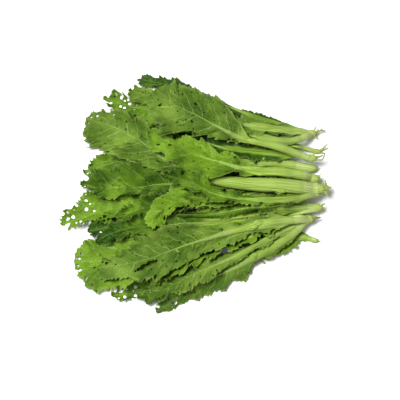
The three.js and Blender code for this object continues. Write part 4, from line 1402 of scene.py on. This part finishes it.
class Graph:
    """The node tree of one material."""

    def __init__(self, name: str) -> None:
        """Makes a material with an empty tree."""
        self.material = bpy.data.materials.new(name)
        self.material.use_nodes = True
        self.tree = self.material.node_tree
        self.tree.nodes.clear()
        self.place = self.node("ShaderNodeTexCoord").outputs["Object"]

    def node(self, kind: str, settings: dict | None = None, inputs: dict | None = None) -> bpy.types.Node:
        """Adds a node.

        Args:
            kind: The node's type.
            settings: Its properties, set first.
            inputs: Values, sockets or terms for its sockets, by name or number.

        Returns:
            The node.
        """
        made = self.tree.nodes.new(kind)
        for key, value in (settings or {}).items():
            setattr(made, key, value)
        for key, value in (inputs or {}).items():
            socket = made.inputs[key]
            source = value.socket if isinstance(value, Term) else value
            if isinstance(source, bpy.types.NodeSocket):
                self.tree.links.new(source, socket)
            else:
                socket.default_value = source
        return made

    def value(self, kind: str, settings: dict | None = None, inputs: dict | None = None) -> Term:
        """Adds a node and returns its first output as a term."""
        return Term(self, self.node(kind, settings, inputs).outputs[0])

    def parts_of(self, name: str) -> tuple[Term, Term, Term]:
        """Returns the three numbers of a mesh attribute."""
        read = self.node("ShaderNodeAttribute", {"attribute_name": name})
        split = self.node("ShaderNodeSeparateXYZ", inputs={0: read.outputs["Vector"]})
        return tuple(Term(self, output) for output in split.outputs)

    def noise(self, scale: float, detail: float = 3.0) -> Term:
        """Returns noise in the piece's own coordinates, with scale in cells per metre."""
        inputs = {"Vector": self.place, "Scale": scale, "Detail": detail}
        return self.value("ShaderNodeTexNoise", inputs=inputs)

    def net(self, scale: float) -> Term:
        """Returns the distance to the nearest line of a net, over the size of its meshes."""
        inputs = {"Vector": self.place, "Scale": scale}
        return self.value("ShaderNodeTexVoronoi", {"feature": "DISTANCE_TO_EDGE"}, inputs)

    def spots(self, scale: float, size: float, share: float) -> Term:
        """Returns 1 in scattered round spots and 0 around them.

        Args:
            scale: Cells per metre, with one spot at most in each.
            size: Radius of a spot over the size of a cell.
            share: Share of the cells that have a spot.
        """
        inputs = {"Vector": self.place, "Scale": scale}
        cells = self.node("ShaderNodeTexVoronoi", inputs=inputs)
        split = self.node("ShaderNodeSeparateColor", inputs={0: cells.outputs["Color"]})
        chosen = Term(self, split.outputs[0]).between(1.0 - share, 1.02 - share)
        return Term(self, cells.outputs["Distance"]).between(size, size * 0.75) * chosen

    def blend(self, first: object, second: object, share: "Term | float") -> bpy.types.NodeSocket:
        """Returns the blend of two colours."""
        inputs = {0: share, 6: first, 7: second}
        return self.node("ShaderNodeMix", {"data_type": "RGBA"}, inputs).outputs[2]

    def finish(self, colour: object, roughness: Term, height: Term, depth: float,
               shine: float) -> bpy.types.Material:
        """Ends the tree in a shader.

        Args:
            colour: Base colour.
            roughness: Roughness.
            height: Relief that the bump reads.
            depth: Depth of the relief in metres.
            shine: How strong the shader's reflections are.

        Returns:
            The material.
        """
        bump = self.node("ShaderNodeBump", inputs={"Height": height, "Distance": depth, "Strength": 1.0})
        inputs = {"Base Color": colour, "Roughness": roughness, "Normal": bump.outputs[0],
                  "Specular IOR Level": shine}
        shader = self.node("ShaderNodeBsdfPrincipled", inputs=inputs)
        self.node("ShaderNodeOutputMaterial", inputs={0: shader.outputs[0]})
        return self.material


def shade(red: int, green: int, blue: int) -> Colour:
    """Returns the linear colour that shows as these eight-bit values."""
    linear = [((value / 255 + 0.055) / 1.055) ** 2.4 for value in (red, green, blue)]
    return linear[0], linear[1], linear[2], 1.0


@dataclass(frozen=True)
class LeafSkin:
    """Finish of one side of the leaves, with its stalks.

    vein_strength says how pale veins are, and spotted which share of the places has a dark spot, partly
    painted shadow as seen through pinholes and partly feeding scars.
    """

    CLOUDS = 30.0
    SPECKS = 420.0
    MESHES = 330.0
    FINE_SPOTS = (130.0, 0.16)
    COARSE_SPOTS = (60.0, 0.085)
    RELIEF = 0.0004
    SHINE = 0.12

    name: str
    dark: Colour
    light: Colour
    vein: Colour
    stalk: Colour
    foot: Colour
    hole_shadow_and_scar: Colour
    vein_strength: float
    roughness: float
    spotted: float

    def build(self) -> bpy.types.Material:
        """Returns the material."""
        graph = Graph(self.name)
        phase, across, blade = graph.parts_of("vein")
        tone, rib, along = graph.parts_of("kind")
        clouds = graph.noise(self.CLOUDS, 5.0)
        specks = graph.noise(self.SPECKS)
        skin = graph.blend(self.dark, self.light, (tone * 0.8 + clouds * 2.2 - 1.05).between(0.0, 1.0))
        spacing = (phase.fraction() - 0.5).size()
        faded = across.between(1.0, 0.3) * along.between(0.98, 0.86)
        side_vein = spacing.between(0.45, 0.495) * faded * self.vein_strength
        net = graph.net(self.MESHES).between(0.09, 0.0) * blade
        midrib = rib.between(1.25, 0.75) * (along.between(1.0, 0.45) * 0.5 + 0.3)
        pale = side_vein.larger(net * 0.35 * self.vein_strength).larger(midrib)
        veined = graph.blend(skin, self.vein, pale)
        streaks = self._streaks(graph, rib, along)
        sheath = along.between(0.32, 0.03) * 0.4 + along.between(0.074, 0.068) * 0.6
        stem = graph.blend(self.stalk, self.foot, sheath)
        greener = streaks.larger((0.9 - tone * 2.0).between(0.0, 1.0)) * 0.85
        ribbed = graph.blend(stem, self.light, greener)
        colour = graph.blend(ribbed, veined, blade.between(0.1, 0.9))
        # Paler rims are painted highlight, standing for the light that catches and shines through the thin
        # leaf edges.
        rim_highlight_painted = graph.blend(colour, self.vein, across.between(0.86, 1.0) * blade * 0.35)
        mottled = graph.blend(rim_highlight_painted, self.dark, (specks - 0.5).size() * 1.1 * blade)
        # Near-black spots off the midrib: partly painted shadow, standing for the dark seen through
        # pinholes, and partly feeding scars.
        fine_spots = graph.spots(*self.FINE_SPOTS, self.spotted)
        bites = fine_spots.larger(graph.spots(*self.COARSE_SPOTS, self.spotted * 0.8)) * blade
        hole_shadowed_and_scarred = graph.blend(mottled, self.hole_shadow_and_scar, bites * rib.between(1.5, 2.5))
        relief = (1.0 - net * 0.9) * blade + specks * 0.5 + streaks * (1.0 - blade)
        rough = clouds * 0.16 + self.roughness
        return graph.finish(hole_shadowed_and_scarred, rough, relief, self.RELIEF, self.SHINE)

    @staticmethod
    def _streaks(graph: Graph, rib: Term, along: Term) -> Term:
        """Returns fine lengthwise streaks for the stalks."""
        place = graph.node("ShaderNodeCombineXYZ", inputs={0: rib * 7.0, 1: along * 5.0})
        inputs = {"Vector": place.outputs[0], "Scale": 1.0, "Detail": 2.0}
        return graph.value("ShaderNodeTexNoise", inputs=inputs).between(0.4, 0.7)


@dataclass(frozen=True)
class RootSkin:
    """Finish of crowns and roots: like the stalks at first, browner towards the root's end."""

    name: str
    crown: Colour
    root: Colour
    soil: Colour
    dry: Colour

    def build(self) -> bpy.types.Material:
        """Returns the material."""
        graph = Graph(self.name)
        _, along, dryness = graph.parts_of("vein")
        patches = graph.noise(220.0)
        fibres = graph.noise(700.0, 4.0)
        body = graph.blend(self.crown, self.root, (along + patches * 8.0).between(4.0, 16.0))
        dirty = graph.blend(body, self.soil, (patches * fibres * 2.0).between(0.55, 0.9) * 0.7)
        withered = graph.blend(dirty, self.dry, dryness)
        rough = fibres * 0.2 + 0.6
        return graph.finish(withered, rough, fibres + patches, depth=0.0005, shine=0.3)


@dataclass(frozen=True)
class TableSkin:
    """Finish of the table."""

    name: str
    colour: Colour

    def build(self) -> bpy.types.Material:
        """Returns the material."""
        graph = Graph(self.name)
        grain = graph.noise(60.0)
        rough = grain * 0.1 + 0.8
        return graph.finish(self.colour, rough, grain, depth=0.00002, shine=0.1)


@dataclass
class Bunch:
    """The nine plants, laid leaf by leaf."""

    coarse_pile: Pile = field(default_factory=Pile)
    fine_pile: Pile = field(default_factory=Pile)

    def build(self) -> list[bpy.types.Object]:
        """Lays all leaves and returns one piece for each plant."""
        parts = {name: MeshParts() for name in CROWNS}
        heights: dict[str, float] = {}
        for number, plan in enumerate(LEAVES):
            if plan.plant not in heights:
                heights[plan.plant] = RootStub.height_on(self.coarse_pile, plan.plant)
                RootStub(plan.plant, heights[plan.plant]).add_to(parts[plan.plant])
            coarse = CoarseLeaf(plan, number)
            coarse.drape(self.coarse_pile, heights[plan.plant])
            FineLeaf(coarse).lay(self.fine_pile, parts[plan.plant])
        skins = self._skins()
        pieces = []
        for name, gathered in parts.items():
            piece = gathered.build(name.replace("plant", "mustard_plant"))
            for skin in skins:
                piece.data.materials.append(skin)
            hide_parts(name)
            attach(piece, "root")
            pieces.append(piece)
            log.info("%s: %d faces", piece.name, len(piece.data.polygons))
        return pieces

    @staticmethod
    def _skins() -> list[bpy.types.Material]:
        """Returns the finishes in the order of the faces' material numbers."""
        foot = shade(180, 197, 120)
        # Near-black spot colour: painted shadow as seen through pinholes, and feeding scars.
        hole_shadow_and_scar = shade(22, 34, 8)
        upper = LeafSkin(
            "leaf_upper", dark=shade(30, 66, 0), light=shade(110, 147, 32), vein=shade(152, 180, 86),
            stalk=shade(146, 172, 74), foot=foot, hole_shadow_and_scar=hole_shadow_and_scar, vein_strength=0.5, roughness=0.42,
            spotted=0.35)
        under = LeafSkin(
            "leaf_under", dark=shade(54, 86, 8), light=shade(112, 141, 48), vein=shade(148, 172, 88),
            stalk=shade(146, 172, 76), foot=foot, hole_shadow_and_scar=hole_shadow_and_scar, vein_strength=0.7, roughness=0.52,
            spotted=0.9)
        root = RootSkin("root", shade(152, 174, 84), shade(146, 160, 80), shade(122, 108, 62),
                        shade(104, 74, 40))
        return [upper.build(), under.build(), root.build()]


@dataclass
class Studio:
    """The table, the lights and the camera."""

    look_at: tuple[float, float, float] = (0.0052, -0.0144, 0.020)
    elevation: float = math.radians(75)
    distance: float = 1.6
    view_width: float = 0.444
    sensor: float = 36.0
    table_side: float = 6.0
    surround: float = 0.21

    def build(self) -> None:
        """Sets the stage."""
        bpy.context.scene.view_settings.view_transform = "Standard"
        self._table()
        self._lights()
        self._camera()

    def _table(self) -> None:
        """Adds the pale table top."""
        bpy.ops.object.select_all(action="DESELECT")
        bpy.ops.mesh.primitive_plane_add(size=self.table_side, location=(0, 0, 0))
        table = bpy.context.object
        table.name = "table_top"
        table.data.materials.append(TableSkin("table", (0.92, 0.92, 0.92, 1.0)).build())

    def _lights(self) -> None:
        """Adds soft studio lights and a bright surround."""
        world = bpy.context.scene.world or bpy.data.worlds.new("surround")
        bpy.context.scene.world = world
        world.use_nodes = True
        background = world.node_tree.nodes["Background"]
        background.inputs["Color"].default_value = (1.0, 1.0, 1.0, 1.0)
        background.inputs["Strength"].default_value = self.surround
        for name, place, size, power in (
            ("key", (-0.62, 0.1, 1.6), 0.7, 46.5),
            ("fill", (0.6, -0.9, 1.4), 1.2, 3.5),
        ):
            lamp = bpy.data.lights.new(name, "AREA")
            lamp.size = size
            lamp.energy = power
            self._hang(lamp, place)

    def _hang(self, held: bpy.types.ID, place: tuple[float, float, float]) -> bpy.types.Object:
        """Hangs a lamp or a camera at a place, turned to the bunch."""
        holder = bpy.data.objects.new(held.name, held)
        holder.location = place
        holder.rotation_euler = self._aim(place)
        bpy.context.scene.collection.objects.link(holder)
        return holder

    def _aim(self, place: tuple[float, float, float]) -> tuple[float, float, float]:
        """Returns the turn that points a lamp or camera from a place at the bunch."""
        run = np.array(self.look_at) - np.array(place)
        flat = math.hypot(run[0], run[1])
        return math.atan2(flat, -run[2]), 0.0, math.atan2(-run[0], run[1])

    def _camera(self) -> None:
        """Adds the camera, looking down on the bunch from the front."""
        lens = bpy.data.cameras.new("camera")
        lens.sensor_width = self.sensor
        lens.lens = self.sensor * self.distance / self.view_width
        back = self.distance * math.cos(self.elevation)
        up = self.distance * math.sin(self.elevation)
        place = (self.look_at[0], self.look_at[1] - back, self.look_at[2] + up)
        bpy.context.scene.camera = self._hang(lens, place)


def main() -> None:
    """Builds the stage and the bunch."""
    logging.basicConfig(level=logging.INFO, format="%(name)s: %(message)s")
    Studio().build()
    pieces = Bunch().build()
    log.info("%d pieces", len(pieces))


if __name__ == "__main__":
    main()
